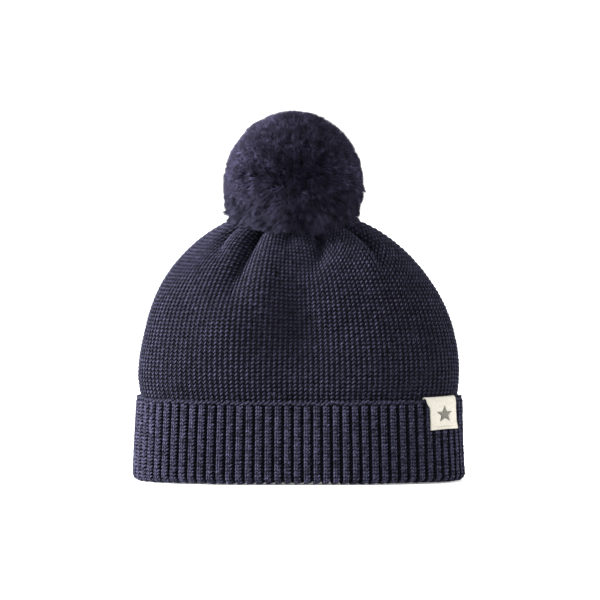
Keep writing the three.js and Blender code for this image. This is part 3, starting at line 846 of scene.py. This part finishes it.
def rim_swell(rows, columns, across, along, width):
    """1 in the middle of a ribbon and more within width of its woven edges."""
    u = np.linspace(0, across, columns)[None, :]
    v = np.linspace(0, along, rows)[:, None]
    edge = np.minimum(np.minimum(u, across - u), v)
    return 1 + 0.55 * np.exp(-((edge / width) ** 2))


label_low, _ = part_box("side_label")
star_low, star_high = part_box("side_label_motif")
sewn_low, sewn_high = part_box("side_label_stitching")
LABEL_THICKNESS = 0.6 * MM
LABEL_GAP = 0.3 * MM
LABEL_BEND = CHAIN_RADIUS + LABEL_GAP + LABEL_THICKNESS / 2
LABEL_BACK_BOTTOM = 34 * MM
LABEL_EDGES = (71.6 * MM, 86.0 * MM)
LABEL_STEPS = 400
CUFF_SAG = 2 * MM


def label_places():
    """Angles of the oval behind the label and the distance of each from the label's left edge."""
    width = cuff_high.x
    ends = [-math.acos((x / width) ** (OVAL_POWER / 2)) for x in LABEL_EDGES]
    angle = np.linspace(ends[0], ends[1], LABEL_STEPS)
    return angle, travelled(oval(width, width - FLATTENING, angle))


LABEL_ANGLES, LABEL_REACH = label_places()
LABEL_WIDTH = LABEL_REACH[-1]


def on_label(across, width, height):
    """Points across metres from the label's left edge, at a half-width and a height."""
    across, width, height = np.broadcast_arrays(across, width, height)
    slope = (LABEL_ANGLES[-1] - LABEL_ANGLES[0]) / LABEL_WIDTH
    beyond = np.minimum(across, 0) + np.maximum(across - LABEL_WIDTH, 0)
    angle = np.interp(across, LABEL_REACH, LABEL_ANGLES) + slope * beyond
    plan = oval(width, width - FLATTENING, angle)
    return sagged(np.stack([plan[..., 0], plan[..., 1], height], -1))


def sagged(points):
    """The cuff's upper edge stands lower in the middle of the front and the back than at the sides."""
    share = np.clip(points[..., 2] / CHAIN_HEIGHT, 0, 1) * np.abs(points[..., 1] / cuff_high.y) ** 2
    return points - (CUFF_SAG * share)[..., None] * np.array((0, 0, 1))


def cuff_face(height):
    """Half-width of the cuff's outer face at a height."""
    share = np.clip(np.asarray(height) / cuff_high.z, 0, 1)
    return cuff_high.x + (chain_high.x + CHAIN_PROUD - cuff_high.x) * share


def label_face(across, height, out):
    """Points on the label's front leg, out metres in front of its face."""
    return on_label(across, cuff_face(height) + LABEL_GAP + LABEL_THICKNESS + out, height)


def side_label():
    """The tab: up the cuff's face, over the edge chain and down behind it, its top corner pulled askew."""
    front_rows, bend_rows, back_rows, columns = 30, 14, 14, 26
    heights = np.linspace(label_low.z, cuff_high.z, front_rows)
    front = [(cuff_face(z) + LABEL_GAP + LABEL_THICKNESS / 2, z) for z in heights]
    turns = [(math.cos(a), math.sin(a)) for a in np.linspace(0, math.pi, bend_rows)[1:]]
    bend = [(CHAIN_WIDTH + LABEL_BEND * c, CHAIN_HEIGHT + LABEL_BEND * s) for c, s in turns]
    heights = np.linspace(CHAIN_HEIGHT, LABEL_BACK_BOTTOM, back_rows)[1:]
    path = np.array([*front, *bend, *((CHAIN_WIDTH - LABEL_BEND, z) for z in heights)])
    rows = len(path)
    share = np.linspace(0, 1, columns)[None, :]
    along = np.linspace(0, 1, rows)[:, None]
    bend = smoothstep(0.42, 0.56, along)
    foot = 1 - smoothstep(0, 0.16, along)
    skew = -1.6 * MM * bend * (1 - share) ** 3 + 0.5 * MM * foot * share**3
    curl = 0.35 * MM * foot * (share**4 + 0.4 * (1 - share) ** 6)
    wave = 0.12 * MM * np.sin(9 * share + 5 * along) + curl
    edge = 0.12 * MM * np.sin(31 * along) * (share - 0.5)
    width = path[:, :1] + wave * (1 - bend)
    height = path[:, 1:] - 0.3 * MM * foot * (2 * share - 1) ** 2
    centres = on_label(share * LABEL_WIDTH + skew + edge, width, height)
    length = float(travelled(path)[-1])
    swell = rim_swell(rows, columns, LABEL_WIDTH, length, 0.55 * MM)
    return ribbon("side_label_tab", centres, LABEL_THICKNESS * 0.8 * swell), length


STITCH_POINTS = 7


def stitch_line(name, ends, count, place, radius):
    """A row of short stitches between two distances, each an arch that dips into the cloth at both ends."""
    pitch = (ends[1] - ends[0]) / count
    arch = np.linspace(0, 1, STITCH_POINTS)
    out = radius * (1.6 * np.sin(math.pi * arch) - 0.6)
    centres = np.array([place(ends[0] + pitch * (i + 0.14 + 0.72 * arch), out) for i in range(count)])
    return strands(name, centres, facing_of(centres), radius, YARN_SIDES, False)


def facing_of(rows):
    """A direction across each row of points that its thread doesn't run along."""
    tangent = unit(np.gradient(rows, axis=1))
    return unit(np.cross(tangent, np.broadcast_to((0.05, 0.1, 1.0), rows.shape)))


# A star of radius 1 is STAR_TALL high and its inner corners lie at STAR_INNER. It is widened for the
# label's turn away from the camera.
STAR_TALL = 1.81
STAR_INNER = 0.44
STAR_WIDEN = 1.28


def star_spans(height, outer, inner, points=5):
    """Where a level line crosses a star: pairs of distances from its middle."""
    angle = math.pi / 2 + np.arange(2 * points) * math.pi / points
    radius = np.where(np.arange(2 * points) % 2, inner, outer)
    x, y = radius * np.cos(angle), radius * np.sin(angle)
    x2, y2 = np.roll(x, -1), np.roll(y, -1)
    crossed = (y > height) != (y2 > height)
    found = x[crossed] + (height - y[crossed]) * (x2 - x)[crossed] / (y2 - y)[crossed]
    return np.sort(found).reshape(-1, 2)


def side_label_star():
    """A plain star filled with level rows of satin stitch."""
    radius = 0.17 * MM
    outer = (star_high.z - star_low.z) / STAR_TALL
    middle_height = star_high.z - outer
    arch = 0.14 * MM * np.sin(math.pi * np.linspace(0, 1, STITCH_POINTS))
    rows = []
    for height in np.arange(-outer, outer, 1.85 * radius):
        for left, right in star_spans(height, outer, STAR_INNER * outer):
            along = LABEL_WIDTH / 2 + STAR_WIDEN * np.linspace(left, right, STITCH_POINTS)
            rows.append(label_face(along, middle_height + height, arch))
    rows = np.array(rows)
    return strands("side_label_star", rows, facing_of(rows), radius, YARN_SIDES, False)


def care_ribbon():
    """The satin care label, a little curled, with a turned hem at its free end."""
    low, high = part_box("care_label")
    rows, columns = 24, 34
    share = np.linspace(0, 1, columns)[None, :]
    rise = np.linspace(0, 1, rows)[:, None]
    x = high.x - (high.x - low.x) * share + 0 * rise
    z = low.z + (high.z - low.z) * rise + 0 * share
    y = (low.y + high.y) / 2 - 1.3 * MM * (1 - share) ** 2 - 0.3 * MM * np.sin(5 * rise) * (1 - share)
    centres = np.stack([x, y + 0 * z, z], -1)
    hem = 0.9 * smoothstep(0.16, 0.13, share)
    return ribbon("care_label_satin", centres, 0.35 * MM * (1 + hem))


# ---------------------------------------------------------------- tie and knots

def centre_of(node):
    low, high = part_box(node)
    return np.array((low + high) / 2), np.array(high - low) / 2


def knot_path(node, count=90):
    """The trefoil that fills a knot's box, and the radius of its yarn."""
    middle, half = centre_of(node)
    reach = half[0] - half[2]
    t = np.linspace(0, 2 * TURN, count)
    ring = reach * (2 + np.cos(1.5 * t)) / 2
    return middle + turned(ring, t, reach * np.sin(1.5 * t) / 2), half[2] - reach / 2


def ring_path(node, count=60):
    middle, half = centre_of(node)
    t = np.linspace(0, TURN, count)
    return middle + turned(half[0] - half[2], t, 0 * t), half[2]


def binding_path(node, turns=5, count=200):
    middle, half = centre_of(node)
    yarn = 0.9 * MM
    t = np.linspace(0, 1, count)
    return middle + turned(half[0] - yarn, TURN * turns * t, (2 * t - 1) * (half[2] - yarn)), yarn


def tie_loop_path(node):
    """Up one side, over the top and down the other."""
    middle, half = centre_of(node)
    yarn = 0.6 * MM
    offset = half[0] - yarn
    leg = np.linspace(-half[2], half[2] - half[0], 20)
    bend = np.linspace(math.pi, 0, 9)[1:-1]
    up = [(-offset, 0, z) for z in leg]
    over = [(offset * math.cos(a), 0, half[2] - half[0] + offset * math.sin(a)) for a in bend]
    down = [(offset, 0, z) for z in leg[::-1]]
    return middle + np.array(up + over + down), yarn


def strand_path(node):
    middle, half = centre_of(node)
    z = np.linspace(-half[2], half[2], 8)
    return middle + np.stack([0 * z, 0 * z, z], 1), half[0]


SEAM_STITCHES = 44
# The share of the seam that lies in the band, and the share of the crown that it goes up.
SEAM_IN_BAND = 0.3
SEAM_UP_CROWN = 0.72


def seam_path(node, count=900):
    """Small overcast stitches up the inside of the back, round the dome."""
    low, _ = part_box(node)
    v = np.linspace(0, 1, count)
    in_band = (v < SEAM_IN_BAND)[:, None]
    above = np.maximum(v - SEAM_IN_BAND, 0) / (1 - SEAM_IN_BAND)
    band = band_surface.at(np.full(count, BACK), np.minimum(v / SEAM_IN_BAND, 1) * band_surface.length)
    dome = crown_surface.at(np.full(count, BACK), above * crown_surface.length * SEAM_UP_CROWN)
    points, normals = (np.where(in_band, b, d) for b, d in zip(band, dome))
    phase = TURN * SEAM_STITCHES * v
    points = points - normals * (2.2 * MM + 0.3 * MM * np.cos(2 * phase))[:, None]
    points[:, 0] += 1.1 * MM * np.sin(phase)
    return points[points[:, 2] > low.z], 0.55 * MM


# ---------------------------------------------------------------- pompom

POMPOM_MIDDLE = np.array((TIE_X, 0, 160 * MM))
POMPOM_UP = 43.8 * MM
POMPOM_DOWN = 33 * MM
POMPOM_WIDE = 40 * MM
POMPOM_DEEP = 37 * MM
# How far out the core reaches and the fibres start, as shares of the ball.
CORE_SHARE = 0.8
ROOT_SHARE = 0.74
TUFTS = 5200
LOCKS = 620
FIBRES_PER_TUFT = 18
FIBRE_RADIUS = 0.16 * MM
# Where a fibre bends and starts to taper, as a share of its length.
BEND = 0.78
# The share of fibres that stand out, and by how much of the ball.
STRAY_SHARE, STRAY_LENGTH = 0.015, 0.03
PILE_GROUPS = 6
# How far from its lock's middle a tuft lies at the edges of the gap between locks, which is darkened with
# painted shade: 1 less the cosine.
LOCK_EDGE = (0.0012, 0.0036)
# How far low tufts are drawn to the tip of their lock, and how deep the gaps lie, as shares of the ball.
LOCK_PULL = 0.85
GAP_DEPTH = 0.07
# Shades of the tufts: the darkest, how much lighter they get, and how rare the light ones are.
DARKEST, LIGHTER, RARITY = 0.05, 1.15, 2.6
# The line from which the lower front is combed to both sides, in x and height, and how sharp it is.
PARTING = ((-11.4 * MM, 157.4 * MM), (-1.6 * MM, 153.6 * MM), (0.8 * MM, 144.0 * MM))
PARTING_WIDTH = 2.2 * MM
COMBED = 9 * MM


def ball_directions(count):
    """Even directions all round."""
    i = np.arange(count) + 0.5
    z = 1 - 2 * i / count
    turn = i * math.pi * (3 - math.sqrt(5))
    flat = np.sqrt(1 - z * z)
    return np.stack([flat * np.cos(turn), flat * np.sin(turn), z], 1)


def crown_height(x, y):
    """Height of the crown's outer surface over a place in plan, and -1 outside it."""
    level = crown_surface.level[::3]
    height = np.full(len(x), -1.0)
    for width, depth, z, shift in level:
        inside = (np.abs((x - shift) / width) ** OVAL_POWER + np.abs(y / depth) ** OVAL_POWER) < 1
        height = np.where(inside, z, height)
    return height


def clear_of_crown(points, room):
    """Points pushed up and outward until they lie on the crown."""
    for _ in range(3):
        surface = crown_height(points[:, 0], points[:, 1]) + room
        sunk = np.maximum(surface - points[:, 2], 0)
        outward = unit((points - POMPOM_MIDDLE) * (1, 1, 0))
        points = points + outward * (0.5 * sunk)[:, None]
        points[:, 2] += 0.6 * sunk
    return points


def combing(points, weight):
    """How the lower front of the pile has been parted: to the left of the parting it lies to the left, to
    the right of it it hangs down."""
    xs, zs = (np.array(a) for a in zip(*PARTING))
    line = np.interp(points[:, 2], zs[::-1], xs[::-1])
    side = np.tanh((points[:, 0] - line) / PARTING_WIDTH)
    left = np.array((-0.85, 0.1, -0.45))
    right = np.array((0.22, -0.1, -0.95))
    share = ((side + 1) / 2)[:, None]
    return (left * (1 - share) + right * share) * weight[:, None]


def ball_radii(direction):
    """Half-sizes of the ball, which is fuller above its widest level than below it."""
    up = np.where(direction[:, 2] > 0, POMPOM_UP, POMPOM_DOWN)
    return np.stack([np.full(len(up), POMPOM_WIDE), np.full(len(up), POMPOM_DEEP), up], 1)


def drift(direction, waves, frequency):
    """A smooth wandering vector over the ball."""
    total = np.zeros_like(direction)
    for _ in range(waves):
        heading = unit(scatter(3))
        along = direction @ heading * frequency * random.uniform(0.7, 1.4) + random.uniform(0, TURN)
        total += np.sin(along)[:, None] * scatter(3)
    return total / math.sqrt(waves)


def pile_fibres():
    """Root, bend and tip of every fibre, and its tone: random, with painted shade in the gaps between locks
    and on the lower half. The lower a tuft lies, the more it is drawn to the tip of its lock and its fibres
    to the tip of the tuft."""
    direction = unit(ball_directions(TUFTS) + 0.014 * scatter(TUFTS, 3))
    low = smoothstep(0.3, -0.6, direction[:, 2])[:, None]
    locks = ball_directions(LOCKS)
    nearest = np.concatenate([np.argmax(part @ locks.T, 1) for part in np.array_split(direction, 8)])
    lock_tip = locks + 0.05 * scatter(LOCKS, 3)
    off_middle = 1 - (direction * locks[nearest]).sum(1, keepdims=True)
    gap = smoothstep(*LOCK_EDGE, off_middle) * low
    lean = (0.02 + 0.06 * low) * drift(direction, 14, 9)
    lean = lean + (0.05 + 0.02 * low) * scatter(TUFTS, 3)
    tuft_tip = direction + lean + LOCK_PULL * low * (lock_tip[nearest] - direction)
    lump = 0.008 * drift(direction, 10, 11)[:, :1]
    lump = lump + (0.011 + 0.01 * low) * scatter(TUFTS, 1)
    lump = lump + low * 0.03 * scatter(LOCKS)[nearest][:, None] - GAP_DEPTH * gap
    # Painted shade: tufts in the gaps between locks and on the lower half are darker; the rest of the tone
    # is random.
    tone_and_shade = (DARKEST + LIGHTER * random.random((TUFTS, 1)) ** RARITY) * (1 - 0.8 * gap) * (1 - 0.35 * low)
    tone_and_shade = tone_and_shade * (1 - low * 0.5 * random.random(LOCKS)[nearest][:, None])

    fibre = np.repeat(np.arange(TUFTS), FIBRES_PER_TUFT)
    count = len(fibre)
    own = unit(direction[fibre] + 0.028 * scatter(count, 3))
    gather = 0.55 + 0.37 * low[fibre]
    tip = tuft_tip[fibre] * gather + (own + lean[fibre]) * (1 - gather)
    tip = tip + (0.03 - 0.012 * low[fibre]) * scatter(count, 3)
    length = 0.985 + lump[fibre] - 0.03 * random.random((count, 1))
    stray = random.random((count, 1)) > 1 - STRAY_SHARE
    radii = ball_radii(own)
    tip = unit(tip) * (length + STRAY_LENGTH * stray) * radii
    root = ROOT_SHARE * own * radii

    normal = unit(tip)
    low = low[fibre, 0]
    front = smoothstep(0.15, -0.6, direction[fibre, 1])
    shift = combing(POMPOM_MIDDLE + tip, COMBED * low * front)
    shift[:, 2] -= 1 * MM + 3 * MM * low * (1 - front)
    shift -= normal * (shift * normal).sum(1, keepdims=True) * 0.8
    bend = root + (tip - root) * BEND
    tip = clear_of_crown(POMPOM_MIDDLE + tip + shift, 0.9 * MM)
    bend = clear_of_crown(POMPOM_MIDDLE + bend + 0.55 * shift, 1.4 * MM)
    root = clear_of_crown(POMPOM_MIDDLE + root, 2.5 * MM)
    return root, bend, tip, tone_and_shade[fibre]


def fibre_mesh(name, root, bend, tip, tone_and_shade):
    """Tapered three-sided fibres along root, bend and tip, with painted shade at the root and a little at
    the tip. Each has its own UV patch.
    """
    count = len(root)
    tangent = unit(tip - root)
    across = unit(np.cross(tangent, scatter(count, 3)))
    beside = np.cross(tangent, across)
    angle = np.arange(3) * TURN / 3
    ring = across[:, None] * np.cos(angle)[:, None] + beside[:, None] * np.sin(angle)[:, None]
    path = np.stack([root, bend], 1)
    rings = path[:, :, None] + ring[:, None] * FIBRE_RADIUS
    points = np.concatenate([rings.reshape(count, 6, 3), tip[:, None]], 1).reshape(-1, 3)
    start = np.arange(count)[:, None] * 7
    side = np.arange(3)
    ahead = (side + 1) % 3
    quads = (start[:, None] + np.stack([side, ahead, ahead + 3, side + 3], 1)).reshape(-1, 4)
    tops = (start[:, None] + np.stack([side + 3, ahead + 3, np.full(3, 6)], 1)).reshape(-1, 3)
    patches = math.ceil(math.sqrt(count))
    patch = np.stack([np.arange(count) % patches, np.arange(count) // patches], 1)[:, None, None]
    left, right = side / 3, (side + 1) / 3
    quad_uv = (left, 0), (right, 0), (right, BEND), (left, BEND)
    top_uv = (left, BEND), (right, BEND), ((left + right) / 2, 1)
    uvs = [np.stack([np.stack([u, v + 0 * u], -1) for u, v in face], 1) for face in (quad_uv, top_uv)]
    uvs = [(patch + UV_MARGIN + (1 - 2 * UV_MARGIN) * uv) / patches for uv in uvs]
    tone_and_shade = tone_and_shade * (0.4 + 0.6 * random.random((count, 1)) ** 2)
    # Painted shade: the root ring gets none of the light, the bend all of it and the tip some.
    painted_light = (np.array((0, 0, 0, 1, 1, 1, 0.6)) * tone_and_shade).reshape(-1)
    return add_mesh(name, points, [quads, tops], uvs, painted_light=painted_light)


def pompom_core():
    """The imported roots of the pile."""
    rows, columns = 40, 72
    polar = np.linspace(0.02, math.pi - 0.02, rows)[:, None]
    turn = np.arange(columns)[None, :] * TURN / columns
    lump = 1 + 0.02 * np.sin(9 * turn + 3 * polar) * np.sin(7 * polar)
    points = turned(np.sin(polar), turn, np.cos(polar) + 0 * turn)
    points = (points * lump[..., None]).reshape(-1, 3)
    points = clear_of_crown(POMPOM_MIDDLE + CORE_SHARE * points * ball_radii(points), 2.0 * MM)
    quads, uvs = (turned_over(part) for part in cells(rows, columns, round_columns=True))
    top = np.arange(columns)[None, :]
    bottom = (rows - 1) * columns + top[:, ::-1]
    ends = np.concatenate([top, bottom])
    return add_mesh("pompom_core", points, [quads, ends], [uvs, np.zeros((2, columns, 2))])


CHAIN_TWINE = 0.5 * MM
# From which depth to which the light reaches the cast-off's strands; below it their colour gets painted
# shade.
CHAIN_OPEN = (-0.5 * MM, 1.05 * MM)


def edge_chain():
    """The cast-off edge: two strands twined round the top of the cuff, one crossing to each loop."""
    count = 16 * RIBS
    share = np.arange(count) / count
    angle = np.linspace(-math.pi, math.pi, 8 * count + 1)
    plan, _ = evenly(oval(CHAIN_WIDTH, CHAIN_WIDTH - FLATTENING, angle), count)
    tangent = unit(np.roll(plan, -1, 0) - np.roll(plan, 1, 0))
    out = np.stack([tangent[:, 1], -tangent[:, 0], np.zeros(count)], 1)
    sway = 0.35 * MM * scatter(2 * RIBS)
    sway = np.interp(share * 2 * RIBS, np.arange(2 * RIBS + 1), np.append(sway, sway[0]))
    rows, depth = [], []
    for strand in range(2):
        turn = TURN * (RIBS * share + strand / 2)
        height = CHAIN_HEIGHT - 0.3 * MM + CHAIN_TWINE * np.sin(turn) + sway
        depth.append(CHAIN_TWINE * np.cos(turn))
        rows.append(sagged(np.column_stack([plan, height])) + out * depth[-1][:, None])
    normals = np.array([out, out])
    yarn = (np.array(rows), normals, 0.55 * MM, YARN_SIDES, True, np.array(depth), CHAIN_OPEN)
    return strands("cuff_cast_off", *yarn)


def fold_lining():
    """The ribbed cloth between the foot of the cuff and the inner layer, gathered up in the fold."""
    columns, rows, thickness = 8 * RIBS, 25, 1.2 * MM
    share = np.linspace(0, 1, rows)
    width = band_high.x - 1.6 * MM + (FOOT_WIDTH - band_high.x) * share
    height = band_low.z + 1.6 * MM - 1.4 * MM * share
    profile = [(w, w - FLATTENING, h, 0) for w, h in zip(width, height)]
    surface = Surface(profile, flat_relief(0.6 * MM))
    return shade_sheet("fold_lining", surface, 0, surface.length, 0, thickness, True, columns, rows)


# ---------------------------------------------------------------- crown

crown_surface = Surface(crown_profile(), crown_relief)
crown_yarn = yarn_material("crown_yarn", "crown_knit", 430, 10, 0.8, 0.03)
ends = (1.2 * MM, crown_surface.length - 1.2 * MM)
crown_knit = courses("crown_knit", crown_surface, stockinette(), CROWN_YARN, *ends, COURSE, 8)
dress(crown_knit, crown_yarn, "crown")
ends = (0.2 * MM, crown_surface.length - 0.5 * MM)
crown_shade_sheet = shade_sheet("crown_shade_sheet", crown_surface, *ends, -0.2 * MM, 0.5 * MM)
dress([crown_shade_sheet], painted_shade_material("crown_shade_sheet", "crown_knit"), "crown")
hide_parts("crown_shell")

# ---------------------------------------------------------------- ribbed band and cuff

rib_yarn = yarn_material("rib_yarn", "rib_knit", 560, 8, 0.9, 0.05)
rib_painted_shade = painted_shade_material("rib_painted_shade", "rib_knit")
band_surface = Surface(band_profile(), flat_relief(BAND_INSET))
ends = (1 * MM, band_surface.length)
band_knit = courses("band_knit", band_surface, rib_stitch(), RIB_YARN, *ends, RIB_COURSE, 3)
dress(band_knit, rib_yarn, "crown")
band_shade_sheet = shade_sheet("band_shade_sheet", band_surface, 0, band_surface.length, -0.1 * MM, 0.3 * MM, ribbed=True)
dress([band_shade_sheet], rib_painted_shade, "crown")
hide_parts("band_inner_layer")

cuff_surface = Surface(cuff_profile(), flat_relief(CUFF_INSET))
cuff_surface.grid = sagged(cuff_surface.grid)
ends = (1 * MM, cuff_surface.length)
cuff_knit = courses("cuff_knit", cuff_surface, rib_stitch(-1), RIB_YARN, *ends, RIB_COURSE, 4)
dress(cuff_knit, rib_yarn, "cuff")
cuff_shade_sheet = shade_sheet("cuff_shade_sheet", cuff_surface, 0, cuff_surface.length, -0.15 * MM, 0.4 * MM, ribbed=True)
dress([cuff_shade_sheet], rib_painted_shade, "cuff")
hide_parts("cuff_outer_layer")
lining = fold_lining()
# Painted shade: the lining in the fold is coloured near-black.
lining.data.materials.append(rib_painted_shade)
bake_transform(lining)
cast_off = edge_chain()
cast_off_yarn = yarn_material("cast_off_yarn", "rib_knit", 300, 2, 0.55, 0.06)
dress([cast_off], cast_off_yarn, "cuff")
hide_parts("cuff_edge_chain")

# ---------------------------------------------------------------- labels

tab, tab_length = side_label()
dress([tab], ribbon_material("label_ribbon", "label_ribbon"), "cuff")
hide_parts("side_label")
label_thread = thread_material("label_thread", "label_thread")


def tab_stitch(along, out):
    return label_face(along, (sewn_low.z + sewn_high.z) / 2, out)


tab_sewing = stitch_line("side_label_sewing", (0.8 * MM, LABEL_WIDTH - 0.8 * MM), 12, tab_stitch, 0.24 * MM)
dress([tab_sewing], label_thread, "cuff")
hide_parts("side_label_stitching")
star = side_label_star()
dress([star], thread_material("motif_thread", "motif_thread"), "cuff")
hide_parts("side_label_motif")

care = care_ribbon()
satin = ribbon_material("care_label_satin", "care_label_satin", 3000.0, 1500.0, 0.4)
dress([care], satin, "care_tag")
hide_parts("care_label")
care_low, care_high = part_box("care_label_stitching")


def care_stitch(along, out):
    x = (care_low.x + care_high.x) / 2
    return np.stack([x + 0 * along, care_high.y - 0.25 * MM - out, care_low.z + along], -1)


care_sewing = stitch_line("care_label_sewing", (0, care_high.z - care_low.z), 8, care_stitch, 0.22 * MM)
dress([care_sewing], label_thread, "care_tag")
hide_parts("care_label_stitching")

# ---------------------------------------------------------------- tie

tie_yarn = yarn_material("tie_yarn", "tie_yarn")
SOFT_TWIST, FIRM_TWIST, HARD_TWIST = 3.2 * MM, 2.4 * MM, 2 * MM
TIE_PIECES = (
    ("gather_thread", "gather_yarn", ring_path, "crown", SOFT_TWIST),
    ("gather_thread_knot", "gather_yarn_knot", knot_path, "crown", HARD_TWIST),
    ("pompom_inside_knot", "pompom_anchor_knot", knot_path, "crown", SOFT_TWIST),
    ("tie_left", "tie_strand_left", strand_path, "crown", HARD_TWIST),
    ("tie_right", "tie_strand_right", strand_path, "crown", HARD_TWIST),
    ("back_seam_stitches", "back_seam_thread", seam_path, "crown", FIRM_TWIST),
    ("neck_wrap", "tie_neck_wrap", ring_path, "tie_neck", SOFT_TWIST),
    ("swivel_knot", "tie_swivel_knot", knot_path, "tie_knot", HARD_TWIST),
    ("binding_turns", "pompom_binding", binding_path, "pompom", SOFT_TWIST),
    ("tie_loop", "pompom_tie_loop", tie_loop_path, "pompom", FIRM_TWIST),
)
for name, node, route, body, pitch in TIE_PIECES:
    piece = plied_yarn(name, *route(node), pitch)
    dress([piece], tie_yarn, body)
    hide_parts(node)

# ---------------------------------------------------------------- pompom

core = pompom_core()
# Painted shade: the core is coloured near-black.
dress([core], painted_shade_material("pompom_core", "pompom_pile"), "pompom")
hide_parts("pompom_pile")
pile = pile_fibres()
pile_yarn = pile_material("pompom_pile", "pompom_pile", 1.8)
for i, part in enumerate(np.array_split(np.arange(TUFTS * FIBRES_PER_TUFT), PILE_GROUPS)):
    fibres = fibre_mesh(f"pompom_fibres_{i + 1}", *(values[part] for values in pile))
    dress([fibres], pile_yarn, "pompom")
